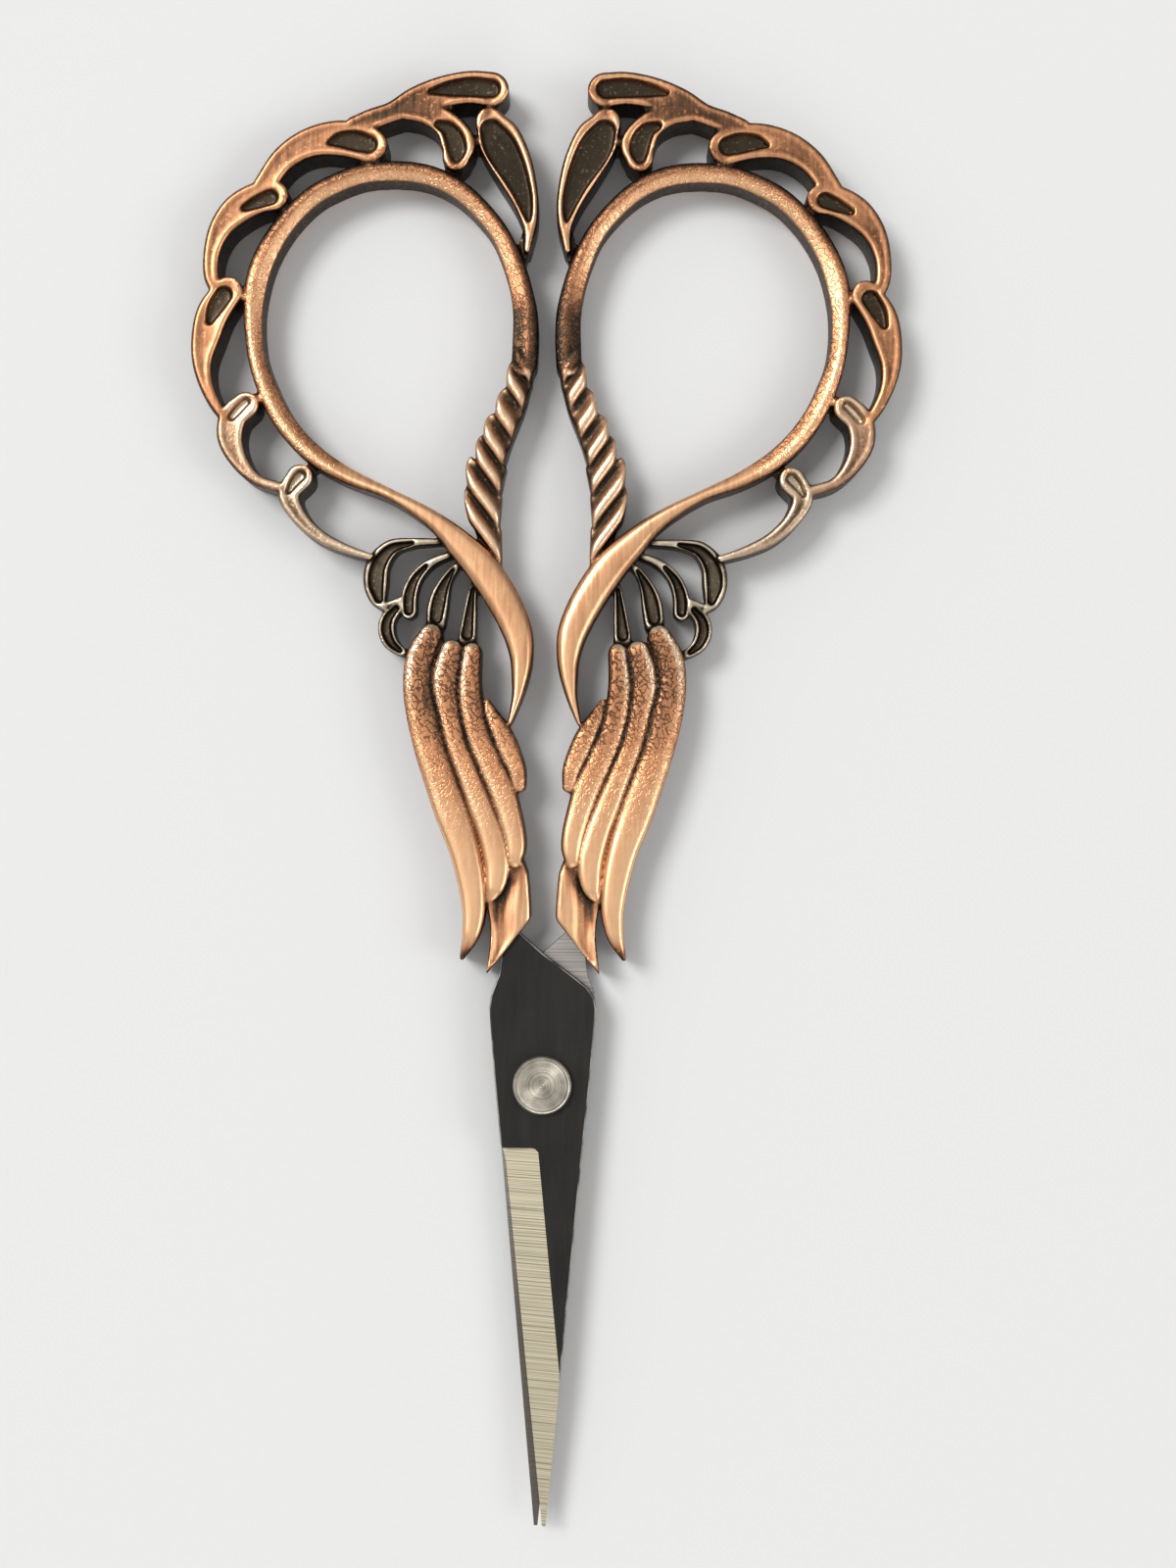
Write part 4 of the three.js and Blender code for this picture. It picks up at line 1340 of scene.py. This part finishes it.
@dataclass
class Handles:
    """The two cast handles, one shape turned over for the other side.

    Sizes are millimetres and heights are half heights above the mid plane. Pairs are where a change starts
    and ends.
    """

    ornament: Ornament = Ornament()
    ring_height: float = 2.0
    ring_edge: float = 1.5
    ring_crest: float = -0.2
    ring_chamfer: float = 0.4
    chamfer_curve: float = 1.2
    ribbon_edge: float = 1.65
    ribbon_height: float = 2.15
    ribbon_start: Range = (0.64, 0.76)
    groove: float = 1.6
    feather_web_height: float = 1.7
    web_height: float = 1.2
    petal_edge: float = 1.0
    petal_spacing: float = 0.2
    bridge_edge: float = 1.3
    bridge_height: float = 1.9
    softening: float = 0.38
    most_softening: float = 0.8
    bolster_softening: float = 0.3
    cell_depth: float = 0.7
    petal_cell_depth: float = 0.6
    cell_wall: Range = (-0.13, 0.13)
    cell_lip: float = 0.02
    dish: float = 0.08
    dish_reach: Range = (0.25, 0.8)
    dish_margin: float = 0.2
    face_depth: float = 0.15
    wall_slope: float = 0.3
    wall_height: float = 0.4
    flute_depth: float = 0.28
    flute_wall: Range = (-0.5, 0.6)
    ridge_crest: float = 2.08
    ridge_overlap: float = 1.12
    ridge_place: float = 0.45
    ridge_cuts: int = 33
    ridge_curve: tuple[Point, ...] = (
        (0.06, 0.38), (0.13, 0.42), (0.21, 0.38), (0.42, 0.62), (0.60, 0.96), (0.75, 1.0), (0.89, 0.9),
    )
    ridge_end_power: float = 6.0
    ridge_end_fall: float = -0.4
    knuckle: float = 0.6
    voxel: float = 0.1
    smoothing: float = 0.5
    smoothing_rounds: int = 3
    most_triangles: int = 190_000

    def scroll_profile(self, across: np.ndarray, half_width: float, _share: float) -> np.ndarray:
        """Flat face with rounded edges.

        Args:
            across: Places across the width, -1 to 1.
            half_width: Half of the width there.
            _share: Share of the length, not used.

        Returns:
            Half height at each place.
        """
        soft = min(self.softening, half_width * self.most_softening)
        over = np.maximum(0.0, np.abs(across) * half_width - (half_width - soft))
        return self.ornament.flat - soft + np.sqrt(np.maximum(0.0, soft**2 - over**2))

    def ring_profile(self, across: np.ndarray, half_width: float, share: float) -> np.ndarray:
        """Rounded outside and a long chamfer inside on the bow, turning into a low crown on the ribbon.

        Args:
            across: Places across the width, -1 to 1.
            half_width: Half of the width there.
            share: Share of the length.

        Returns:
            Half height at each place.
        """
        from_crest = across - self.ring_crest
        rounding = np.sqrt(np.maximum(0.0, 1.0 - (from_crest / (1.0 + self.ring_crest)) ** 2))
        outer = self.ring_edge + (self.ring_height - self.ring_edge) * rounding
        chamfer = np.maximum(0.0, from_crest / (1.0 - self.ring_crest)) ** self.chamfer_curve
        inner = self.ring_height - self.ring_chamfer * chamfer
        bow = np.where(from_crest < 0.0, outer, inner)
        ribbon = crown(self.ribbon_edge, self.ribbon_height, FLAT_TOP)(across, half_width, share)
        turned = float(smoothstep(self.ribbon_start, np.array(share)))
        return bow * (1.0 - turned) + ribbon * turned

    def ridge_tree(self) -> bpy.types.NodeTree:
        """Geometry Nodes tree that lays a slanting ridge on each point of a guide.

        Each point carries the vectors `centre`, `axis` and `step`: half of the ridge's length and half of its
        width, both in the plane. The ridges are parallel-sided, so their ends follow the edge of the bar.

        Returns:
            The tree, with inputs for the ridges' heights, the bulge of their ends and the finish.
        """
        tree = bpy.data.node_groups.new("rope_ridges", "GeometryNodeTree")
        inputs = {
            "Geometry": "Geometry", "Groove Height": "Float", "Crest Height": "Float", "Crest Place": "Float",
            "Knuckle": "Float", "Finish": "Material",
        }
        for name, kind in inputs.items():
            tree.interface.new_socket(name, in_out="INPUT", socket_type="NodeSocket" + kind)
        tree.interface.new_socket("Geometry", in_out="OUTPUT", socket_type="NodeSocketGeometry")
        nodes = Nodes(tree)
        sizes = nodes.add("NodeGroupInput").outputs
        cuts = {"Vertices X": self.ridge_cuts, "Vertices Y": self.ridge_cuts, "Vertices Z": 2}
        block = nodes.add("GeometryNodeMeshCube", {"Size": (2.0, 2.0, 2.0), **cuts}).outputs["Mesh"]
        points = {"Points": sizes["Geometry"], "Instance": block}
        placed = nodes.add("GeometryNodeInstanceOnPoints", points).outputs[0]
        real = nodes.add("GeometryNodeRealizeInstances", {0: placed}).outputs[0]
        centre, axis, step = (nodes.vector_attribute(name) for name in ("centre", "axis", "step"))
        local = nodes.vector("SUBTRACT", nodes.add("GeometryNodeInputPosition").outputs[0], centre)
        along, across, side = nodes.apart(local)
        height = nodes.math("MULTIPLY", side, self.ridge_height(nodes, along, across, sizes))
        upright = nodes.add("ShaderNodeCombineXYZ", {2: height}).outputs[0]
        outer = nodes.math("MAXIMUM", nodes.math("MULTIPLY", along, -1.0), 0.0)
        to_corner = nodes.math("MULTIPLY", outer, across)
        bulge = nodes.math("MULTIPLY", to_corner, to_corner)
        pulled = nodes.math("MULTIPLY", bulge, sizes["Knuckle"])
        shifted = nodes.math("SUBTRACT", across, sizes["Crest Place"])
        moved = nodes.vector("ADD", centre, nodes.scaled(axis, along))
        moved = nodes.vector("ADD", moved, nodes.scaled(nodes.vector("NORMALIZE", axis), pulled))
        moved = nodes.vector("ADD", moved, nodes.scaled(step, shifted))
        moved = nodes.vector("ADD", moved, upright)
        shaped = nodes.add("GeometryNodeSetPosition", {"Geometry": real, "Position": moved}).outputs[0]
        again = nodes.add("GeometryNodeRealizeInstances", {0: shaped}).outputs[0]
        finish = {"Geometry": again, "Material": sizes["Finish"]}
        nodes.add("NodeGroupOutput", {0: nodes.add("GeometryNodeSetMaterial", finish).outputs[0]})
        return tree

    def ridge_height(
        self, nodes: Nodes, along: Socket, across: Socket, sizes: bpy.types.NodeOutputs
    ) -> Socket:
        """Half height of a ridge.

        Args:
            nodes: Tree of the ridges.
            along: Place along the ridge, -1 to 1.
            across: Place across the ridge, -1 to 1.
            sizes: The tree's own inputs.

        Returns:
            The height's socket.
        """
        profile = nodes.add("ShaderNodeFloatCurve", {"Value": nodes.math("MULTIPLY_ADD", across, 0.5, 0.5)})
        points = profile.mapping.curves[0].points
        for place, height in self.ridge_curve:
            points.new(place, height)
        points[-1].location = (1.0, 0.0)
        profile.mapping.update()
        to_end = nodes.math("POWER", nodes.math("ABSOLUTE", along), self.ridge_end_power)
        round_end = nodes.math("MULTIPLY_ADD", to_end, self.ridge_end_fall, 1.0)
        rise = nodes.math("SUBTRACT", sizes["Crest Height"], sizes["Groove Height"])
        relief = nodes.math("MULTIPLY", rise, nodes.math("MULTIPLY", profile.outputs[0], round_end))
        return nodes.math("ADD", relief, sizes["Groove Height"])

    def add_rope(self, casting: Casting) -> None:
        """Adds the twisted bar: a core and the ridges that Geometry Nodes lay along it.

        Args:
            casting: Casting that the bar joins.
        """
        rows = self.ornament.rope.stations
        core = Stroke(tuple((x + self.knuckle / 2, y, width - self.knuckle) for x, y, width in rows))
        casting.add_stroke(core, strip(self.web_height))
        ends = np.pad(np.array(self.ornament.ridges, float), ((0, 0), (0, 0), (0, 1)))
        centres = ends.mean(1)
        axes = (ends[:, 1] - ends[:, 0]) / 2
        steps = np.gradient(centres, axis=0) / 2 * self.ridge_overlap
        guide = solid("rope_line", centres.tolist(), [])
        for name, vectors in (("centre", centres), ("axis", axes), ("step", steps)):
            attribute = guide.data.attributes.new(name, "FLOAT_VECTOR", "POINT")
            attribute.data.foreach_set("vector", vectors.ravel())
        ridges = guide.modifiers.new("ridges", "NODES")
        ridges.node_group = self.ridge_tree()
        values = {
            "Groove Height": self.web_height, "Crest Height": self.ridge_crest,
            "Crest Place": self.ridge_place, "Knuckle": self.knuckle, "Finish": AntiqueCopper().material(),
        }
        for socket in ridges.node_group.interface.items_tree:
            if socket.name in values:
                ridges[socket.identifier] = values[socket.name]
        rope = applied(guide).data
        casting.add(rows_of(rope, Vertex.PLACE), [list(face.vertices) for face in rope.polygons])
        bpy.data.objects.remove(guide)

    def wall_distance(self, mesh: bpy.types.Mesh) -> np.ndarray:
        """Distance from the scrolls' faces to the nearest upright wall.

        Args:
            mesh: Fused casting in millimetres.

        Returns:
            The distance at each vertex, 0 away from the scrolls' faces.
        """
        places = rows_of(mesh, Vertex.PLACE)
        height, upright = np.abs(places[:, 2]), np.abs(rows_of(mesh, Vertex.NORMAL)[:, 2])
        walls = places[(upright < self.wall_slope) & (height < self.wall_height)]
        depth = np.max([stroke.inside(places[:, :2]) for stroke in self.ornament.scrolls], axis=0)
        faces = (depth > self.dish_margin) & (height > self.ornament.flat - self.face_depth)
        distance = np.zeros(len(places))
        distance[faces] = nearest(walls, places[faces])[1]
        return distance

    def carve(self, mesh: bpy.types.Mesh) -> None:
        """Sinks the cells, the dished scrolls and the flute of the bolster into both faces.

        Args:
            mesh: Fused casting in millimetres.
        """
        lines = self.ornament
        places = rows_of(mesh, Vertex.PLACE)
        plan, height = places[:, :2], np.abs(places[:, 2])
        ceiling = np.full(len(places), np.inf)
        cells = [(stroke, lines.flat, self.cell_depth) for stroke in lines.cells]
        cells += [(stroke, lines.petal_height, self.petal_cell_depth) for stroke in lines.petal_cells]
        for stroke, top, depth in cells:
            sunk = smoothstep(self.cell_wall, stroke.inside(plan))
            floor = top + self.cell_lip - (depth + self.cell_lip) * sunk
            ceiling = np.where(sunk > 0.0, np.minimum(ceiling, floor), ceiling)
        rim = self.wall_distance(mesh)
        dished = lines.flat - self.dish * smoothstep(self.dish_reach, rim)
        ceiling = np.where(rim > self.dish_reach[0], np.minimum(ceiling, dished), ceiling)
        sunk = smoothstep(self.flute_wall, lines.flute.inside(plan))
        fluted = np.minimum(ceiling, lines.bolster_height - self.flute_depth * sunk)
        ceiling = np.where(lines.on_bolster(height) & (sunk > 0.0), fluted, ceiling)
        places[:, 2] = np.sign(places[:, 2]) * np.minimum(height, ceiling)
        set_vertices(mesh, places)

    def gathered(self) -> Casting:
        """Gathers every stroke of one handle.

        Returns:
            The bars of the casting, in millimetres.
        """
        lines = self.ornament
        casting = Casting()
        casting.add_stroke(lines.ring_and_ribbon, self.ring_profile)
        self.add_rope(casting)
        casting.add_slab(lines.bolster, lines.bolster_height, self.bolster_softening)
        for stroke in lines.petals:
            profile = crown(self.petal_edge, lines.petal_height, ROUND_TOP, STEEP_FALL)
            casting.add_stroke(stroke, profile, self.petal_spacing)
        for stroke in lines.feathers:
            profile = crown(self.groove, lines.flat, FLAT_TOP, ROUND_FALL)
            casting.add_stroke(stroke, profile, domed=True)
        plain = (
            (lines.scrolls, self.scroll_profile),
            (lines.bridges, crown(self.bridge_edge, self.bridge_height, ROUND_TOP, ROUND_FALL)),
            (lines.feather_webs, strip(self.feather_web_height)),
            (lines.webs, strip(self.web_height)),
        )
        for group, profile in plain:
            for stroke in group:
                casting.add_stroke(stroke, profile)
        return casting

    def fused(self) -> bpy.types.Object:
        """Casts one handle of the front half in millimetres.

        Returns:
            One closed object with every stroke fused, the cells sunk and the patina stored.
        """
        piece = self.gathered().object("left_casting")
        for sinks in (True, False):
            fuse = piece.modifiers.new("fuse", "REMESH")
            fuse.mode = "VOXEL"
            fuse.voxel_size = self.voxel
            applied(piece)
            if sinks:
                self.carve(piece.data)
        soften = piece.modifiers.new("soften", "SMOOTH")
        soften.factor = self.smoothing
        soften.iterations = self.smoothing_rounds
        applied(piece)
        Patina(self.ornament).weather(piece.data)
        thin = piece.modifiers.new("thin", "DECIMATE")
        triangles = 2 * len(piece.data.polygons)
        thin.ratio = min(1.0, self.most_triangles / triangles)
        applied(piece)
        shade_smooth(piece.data)
        return piece

    def build(self) -> list[bpy.types.Object]:
        """Builds, weathers and places both handles.

        Returns:
            The two handles.
        """
        left = self.fused()
        right = link(left.data.copy(), "right_casting")
        for piece, half, node in ((left, Half.FRONT, "left_handle"), (right, Half.REAR, "right_handle")):
            into_frame(piece.data, half)
            piece.data.materials.clear()
            piece.data.materials.append(AntiqueCopper().material())
            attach(piece, half.value)
            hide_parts(node)
        return [left, right]


class BladeFace(IntEnum):
    """Kinds of a blade's faces, in the order of their finishes."""

    BLACK = 0
    BEVEL = 1
    RIM = 2
    SLIDING = 3


@dataclass
class Blades:
    """The two blades, one shape turned over for the other side. Sizes are millimetres."""

    thickness: float = 1.2
    gap: float = 0.1
    reach: float = 38.0
    tip_offset: float = 0.35
    tip_width: float = 0.3
    heel: float = 5.4
    bevel_width: float = 2.75
    bevel_slopes: Range = (0.5, 0.98)
    land: float = 0.15
    corner_place: float = -0.95
    corner_radius: float = 0.75
    corner_turns: tuple[float, ...] = (80.0, 60.0, 40.0, 20.0, 0.0)
    cut_side: float = 6.0
    cut_ends: Range = (-42.0, -24.0)
    cut_height: float = 8.0
    bore: float = 1.5
    bore_sides: int = 48
    bore_ends: Range = (-3.0, 4.0)
    rim: float = 0.12
    rim_segments: int = 2
    rim_profile: float = 0.6
    rim_clearance: float = 0.1
    weld: float = 0.005
    level_slack: float = 0.01
    upright: float = 0.1
    facing_down: float = -0.9
    sliding_pale: Stop = (0.55, (0.44, 0.41, 0.38))
    sliding_deep: Stop = (0.36, (0.20, 0.185, 0.17))
    sliding_tip_darkening: float = 0.85
    edge_start: Point = (-3.1, -5.4)
    upper_right: tuple[Point, ...] = (
        (3.5, -5.4), (4.05, 0.0), (4.52, 5.6), (4.56, 6.5), (4.4, 7.4), (3.75, 8.35), (2.67, 9.2),
        (0.0, 11.2), (-1.9, 12.9),
    )
    upper_left: tuple[Point, ...] = (
        (-2.2, 13.6), (-3.5, 12.0), (-3.65, 10.2), (-3.75, 9.4), (-4.1, 8.5), (-4.42, 7.6), (-4.55, 6.6),
        (-4.5, 5.6), (-4.05, 0.0), (-3.55, -4.9), (-3.42, -5.4), (-3.1, -6.6),
    )

    def prism(
        self, name: str, outline: Sequence[Point], low: Callable[[float, float], float], high: float
    ) -> bpy.types.Object:
        """Upright prism whose underside may slope.

        Args:
            name: Name of the object.
            outline: Corners, counterclockwise.
            low: Height of the underside at a place.
            high: Height of the top.

        Returns:
            The prism, in millimetres.
        """
        rows = [(x, y, low(x, y)) for x, y in outline] + [(x, y, high) for x, y in outline]
        return solid(name, rows, skin(2, len(outline)))

    def tip(self) -> tuple[Point, Point]:
        """Corners of the tip, cutting edge first."""
        half = self.tip_width / 2
        return (self.tip_offset - half, -self.reach), (self.tip_offset + half, -self.reach)

    def bevel_height(self, x: float, y: float) -> float:
        """Height of the ground bevel.

        Args:
            x: Place across the blade.
            y: Place along the blade.

        Returns:
            Height over the mid plane there.
        """
        along = np.array(self.tip()[0]) - np.array(self.edge_start)
        along /= np.linalg.norm(along)
        away = np.array((x, y)) - np.array(self.edge_start)
        distance = along[0] * away[1] - along[1] * away[0]
        rise = (self.thickness - self.land) / self.bevel_width
        return self.gap / 2 + self.land + rise * distance

    def shape(self) -> bpy.types.Object:
        """Cuts one blade of the front half in millimetres.

        Returns:
            The blade with its bevel, bore and softened edges, faces sorted by finish.
        """
        bottom, top = self.gap / 2, self.gap / 2 + self.thickness
        outline = (*self.tip(), *self.upper_right, *self.upper_left)
        blade = self.prism("front_steel", outline, lambda _x, _y: bottom, top)
        side, radius = self.cut_side, self.corner_radius
        end, shoulder = self.cut_ends
        footprint = [(-side, end), (side, end), (side, shoulder)]
        for turn in np.radians(self.corner_turns):
            drop = radius * (1.0 - math.cos(turn))
            footprint.append((self.corner_place + radius * math.sin(turn), -self.heel - drop))
        footprint.append((-side, -self.heel))
        wedge = self.prism("wedge", footprint, self.bevel_height, top + self.cut_height)
        turns = np.linspace(0.0, 2 * math.pi, self.bore_sides, endpoint=False)
        circle = [(self.bore * math.cos(turn), self.bore * math.sin(turn)) for turn in turns]
        hole = self.prism("hole", circle, lambda _x, _y: self.bore_ends[0], self.bore_ends[1])
        for cutter in (wedge, hole):
            cut = blade.modifiers.new("cut", "BOOLEAN")
            cut.operation = "DIFFERENCE"
            cut.object = cutter
        applied(blade)
        for cutter in (wedge, hole):
            bpy.data.objects.remove(cutter)
        self.sort_faces(blade.data)
        self.soften_rim(blade.data, top)
        return blade

    def sort_faces(self, mesh: bpy.types.Mesh) -> None:
        """Gives each face of a blade its finish.

        Args:
            mesh: Blade in millimetres.
        """
        sliding = GroundSteel(
            "ground_face", pale=self.sliding_pale, deep=self.sliding_deep, tip_darkening=self.sliding_tip_darkening
        )
        for finish in (BlackOxide(), GroundSteel(), WornEdge(), sliding):
            mesh.materials.append(finish.material())
        gentlest, steepest = self.bevel_slopes
        for face in mesh.polygons:
            if face.normal.z < self.facing_down:
                face.material_index = BladeFace.SLIDING
            elif gentlest < face.normal.z < steepest and face.normal.x < -self.upright:
                face.material_index = BladeFace.BEVEL
            else:
                face.material_index = BladeFace.BLACK

    def soften_rim(self, mesh: bpy.types.Mesh, top: float) -> None:
        """Rounds the rim of the black face, where the oxide has rubbed off.

        Args:
            mesh: Blade in millimetres.
            top: Height of the black face.
        """
        shape = bmesh.new()
        shape.from_mesh(mesh)
        bmesh.ops.remove_doubles(shape, verts=shape.verts, dist=self.weld)
        rims = []
        for edge in shape.edges:
            wall = min(edge.link_faces, key=lambda side: abs(side.normal.z))
            level = min(corner.co.z for corner in edge.verts) > top - self.level_slack
            whole = min(corner.co.z for corner in wall.verts) < self.gap / 2 + self.level_slack
            outer = min(corner.co.to_2d().length for corner in edge.verts) > self.bore + self.rim_clearance
            if level and whole and outer and abs(wall.normal.z) < self.upright:
                rims.append(edge)
        bmesh.ops.bevel(
            shape, geom=rims, offset=self.rim, offset_type="OFFSET", segments=self.rim_segments,
            profile=self.rim_profile, affect="EDGES", clamp_overlap=False, material=BladeFace.RIM,
        )
        shape.to_mesh(mesh)
        shape.free()

    def build(self) -> list[bpy.types.Object]:
        """Builds and places both blades.

        Returns:
            The two blades.
        """
        front = self.shape()
        rear = link(front.data.copy(), "rear_steel")
        for piece, half, node in ((front, Half.FRONT, "front_blade"), (rear, Half.REAR, "rear_blade")):
            into_frame(piece.data, half)
            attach(piece, half.value)
            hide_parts(node)
        return [front, rear]


@dataclass
class Rivet:
    """Turned rivet and its cap. Radii and heights are millimetres from the pivot axis and the mid plane."""

    sides: int = 96
    weld: float = 1e-4
    sharp_turn: float = 35.0
    head: tuple[Point, ...] = (
        (0.0, 2.06), (1.1, 2.065), (2.16, 2.055), (2.22, 2.01), (2.28, 2.01), (2.34, 2.03), (2.44, 1.95),
        (2.52, 1.78), (2.55, 1.6), (2.55, 1.35), (1.4, 1.35), (1.4, -1.7), (0.0, -1.7),
    )
    cap: tuple[Point, ...] = (
        (0.0, -1.75), (1.5, -1.75), (1.5, -1.35), (2.4, -1.35), (2.4, -1.75), (2.36, -1.9), (2.26, -2.0),
        (2.1, -2.05), (0.0, -2.05),
    )

    def turned(self, name: str, profile: Sequence[Point]) -> bpy.types.Object:
        """Turns a profile about the pivot axis.

        Args:
            name: Name of the piece.
            profile: Radius and height of each corner, from the axis back to the axis.

        Returns:
            The turned piece, in millimetres.
        """
        shape = bmesh.new()
        ring = [shape.verts.new((radius, 0.0, height)) for radius, height in profile]
        edges = [shape.edges.new(pair) for pair in zip(ring, ring[1:])]
        bmesh.ops.spin(
            shape, geom=[*ring, *edges], axis=(0, 0, 1), cent=(0, 0, 0), steps=self.sides, angle=2 * math.pi
        )
        bmesh.ops.remove_doubles(shape, verts=shape.verts, dist=self.weld)
        bmesh.ops.recalc_face_normals(shape, faces=shape.faces)
        mesh = bpy.data.meshes.new(name)
        shape.to_mesh(mesh)
        shape.free()
        shade_smooth(mesh)
        mesh.set_sharp_from_angle(angle=math.radians(self.sharp_turn))
        return link(mesh, name)

    def build(self) -> list[bpy.types.Object]:
        """Builds and places the rivet and its cap.

        Returns:
            The two pieces.
        """
        pieces = []
        turnings = (("rivet_head", self.head, "pivot_rivet"), ("rivet_back", self.cap, "rivet_cap"))
        for name, profile, node in turnings:
            piece = self.turned(name, profile)
            into_frame(piece.data, Half.FRONT)
            piece.data.materials.append(TurnedSteel().material())
            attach(piece, Half.REAR.value)
            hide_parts(node)
            pieces.append(piece)
        return pieces


@dataclass(frozen=True)
class Lamp:
    """A soft square lamp that faces the scissors. Its place and side are metres, its power is watts."""

    name: str
    place: Triple
    side: float
    power: float

    def hang(self) -> None:
        """Hangs the lamp in the scene."""
        light = bpy.data.lights.new(self.name, "AREA")
        light.size = self.side
        light.energy = self.power
        lamp = bpy.data.objects.new(self.name, light)
        bpy.context.scene.collection.objects.link(lamp)
        lamp.location = self.place
        lamp.rotation_euler = (-Vector(self.place)).to_track_quat("-Z", "Y").to_euler()


@dataclass
class Studio:
    """Pale floor, soft light and the camera over the scissors. Places are metres."""

    floor_side: float = 2.0
    sky_low: Triple = (0.20, 0.205, 0.215)
    sky_high: Triple = (1.0, 0.99, 0.97)
    sky_side: Triple = (-0.24, 0.22, 0.945)
    sky_rise: Range = (0.2, 0.85)
    haze_rise: Range = (0.08, 0.26)
    sky_strength: float = 0.71
    lamps: tuple[Lamp, ...] = (
        Lamp("key", (-1.04, 0.72, 1.84), 0.80, 30.0),
        Lamp("fill", (1.68, -0.40, 1.44), 1.04, 11.2),
        Lamp("foot", (0.20, -1.68, 1.20), 1.20, 4.8),
    )
    camera_height: float = 0.2
    camera_place: Point = (0.00375, 0.00155)
    camera_roll: float = 0.364
    focal_pixels: float = 2350.0
    long_side: float = 1600.0
    sensor: float = 36.0
    clip_start: float = 0.01

    def floor(self) -> None:
        """Lays the pale floor under the scissors."""
        side = self.floor_side
        corners = [(-side, -side, 0), (side, -side, 0), (side, side, 0), (-side, side, 0)]
        piece = solid("floor", corners, [(0, 1, 2, 3)])
        piece.data.materials.append(PaleFloor().material())

    def sky(self) -> None:
        """Sets a pale surround that is brightest overhead and to one side, with haze low down."""
        world = bpy.data.worlds.new("surround")
        world.use_nodes = True
        bpy.context.scene.world = world
        nodes = Nodes(world.node_tree)
        place = nodes.add("ShaderNodeTexCoord").outputs["Generated"]
        towards = nodes.add("ShaderNodeVectorMath", {0: place, 1: self.sky_side}, operation="DOT_PRODUCT")
        tone = nodes.ramp(towards.outputs["Value"], tuple(zip(self.sky_rise, (self.sky_low, self.sky_high))))
        fade = tuple(zip(self.haze_rise, ((1.0, 1.0, 1.0), (0.0, 0.0, 0.0))))
        haze = nodes.ramp(nodes.apart(place)["Z"], fade)
        background = world.node_tree.nodes["Background"]
        nodes.put(background.inputs["Color"], nodes.mix(haze, tone, self.sky_high))
        nodes.put(background.inputs["Strength"], self.sky_strength)

    def camera(self) -> None:
        """Hangs the camera straight over the scissors."""
        data = bpy.data.cameras.new("over")
        data.sensor_width = self.sensor
        data.lens = self.sensor * self.focal_pixels / self.long_side
        data.clip_start = self.clip_start
        camera = bpy.data.objects.new("over", data)
        bpy.context.scene.collection.objects.link(camera)
        camera.location = (*self.camera_place, self.camera_height)
        camera.rotation_euler = (0.0, 0.0, math.radians(self.camera_roll))
        bpy.context.scene.camera = camera

    def build(self) -> None:
        """Sets up the whole studio."""
        bpy.context.scene.view_settings.view_transform = "Standard"
        self.floor()
        self.sky()
        for lamp in self.lamps:
            lamp.hang()
        self.camera()


def main() -> None:
    """Builds the scissors and the studio, and reports each piece."""
    logging.basicConfig(level=logging.INFO, format="%(message)s")
    Studio().build()
    for assembly in (Handles(), Blades(), Rivet()):
        for piece in assembly.build():
            log.info("%s: %d faces", piece.name, len(piece.data.polygons))


if __name__ == "__main__":
    main()
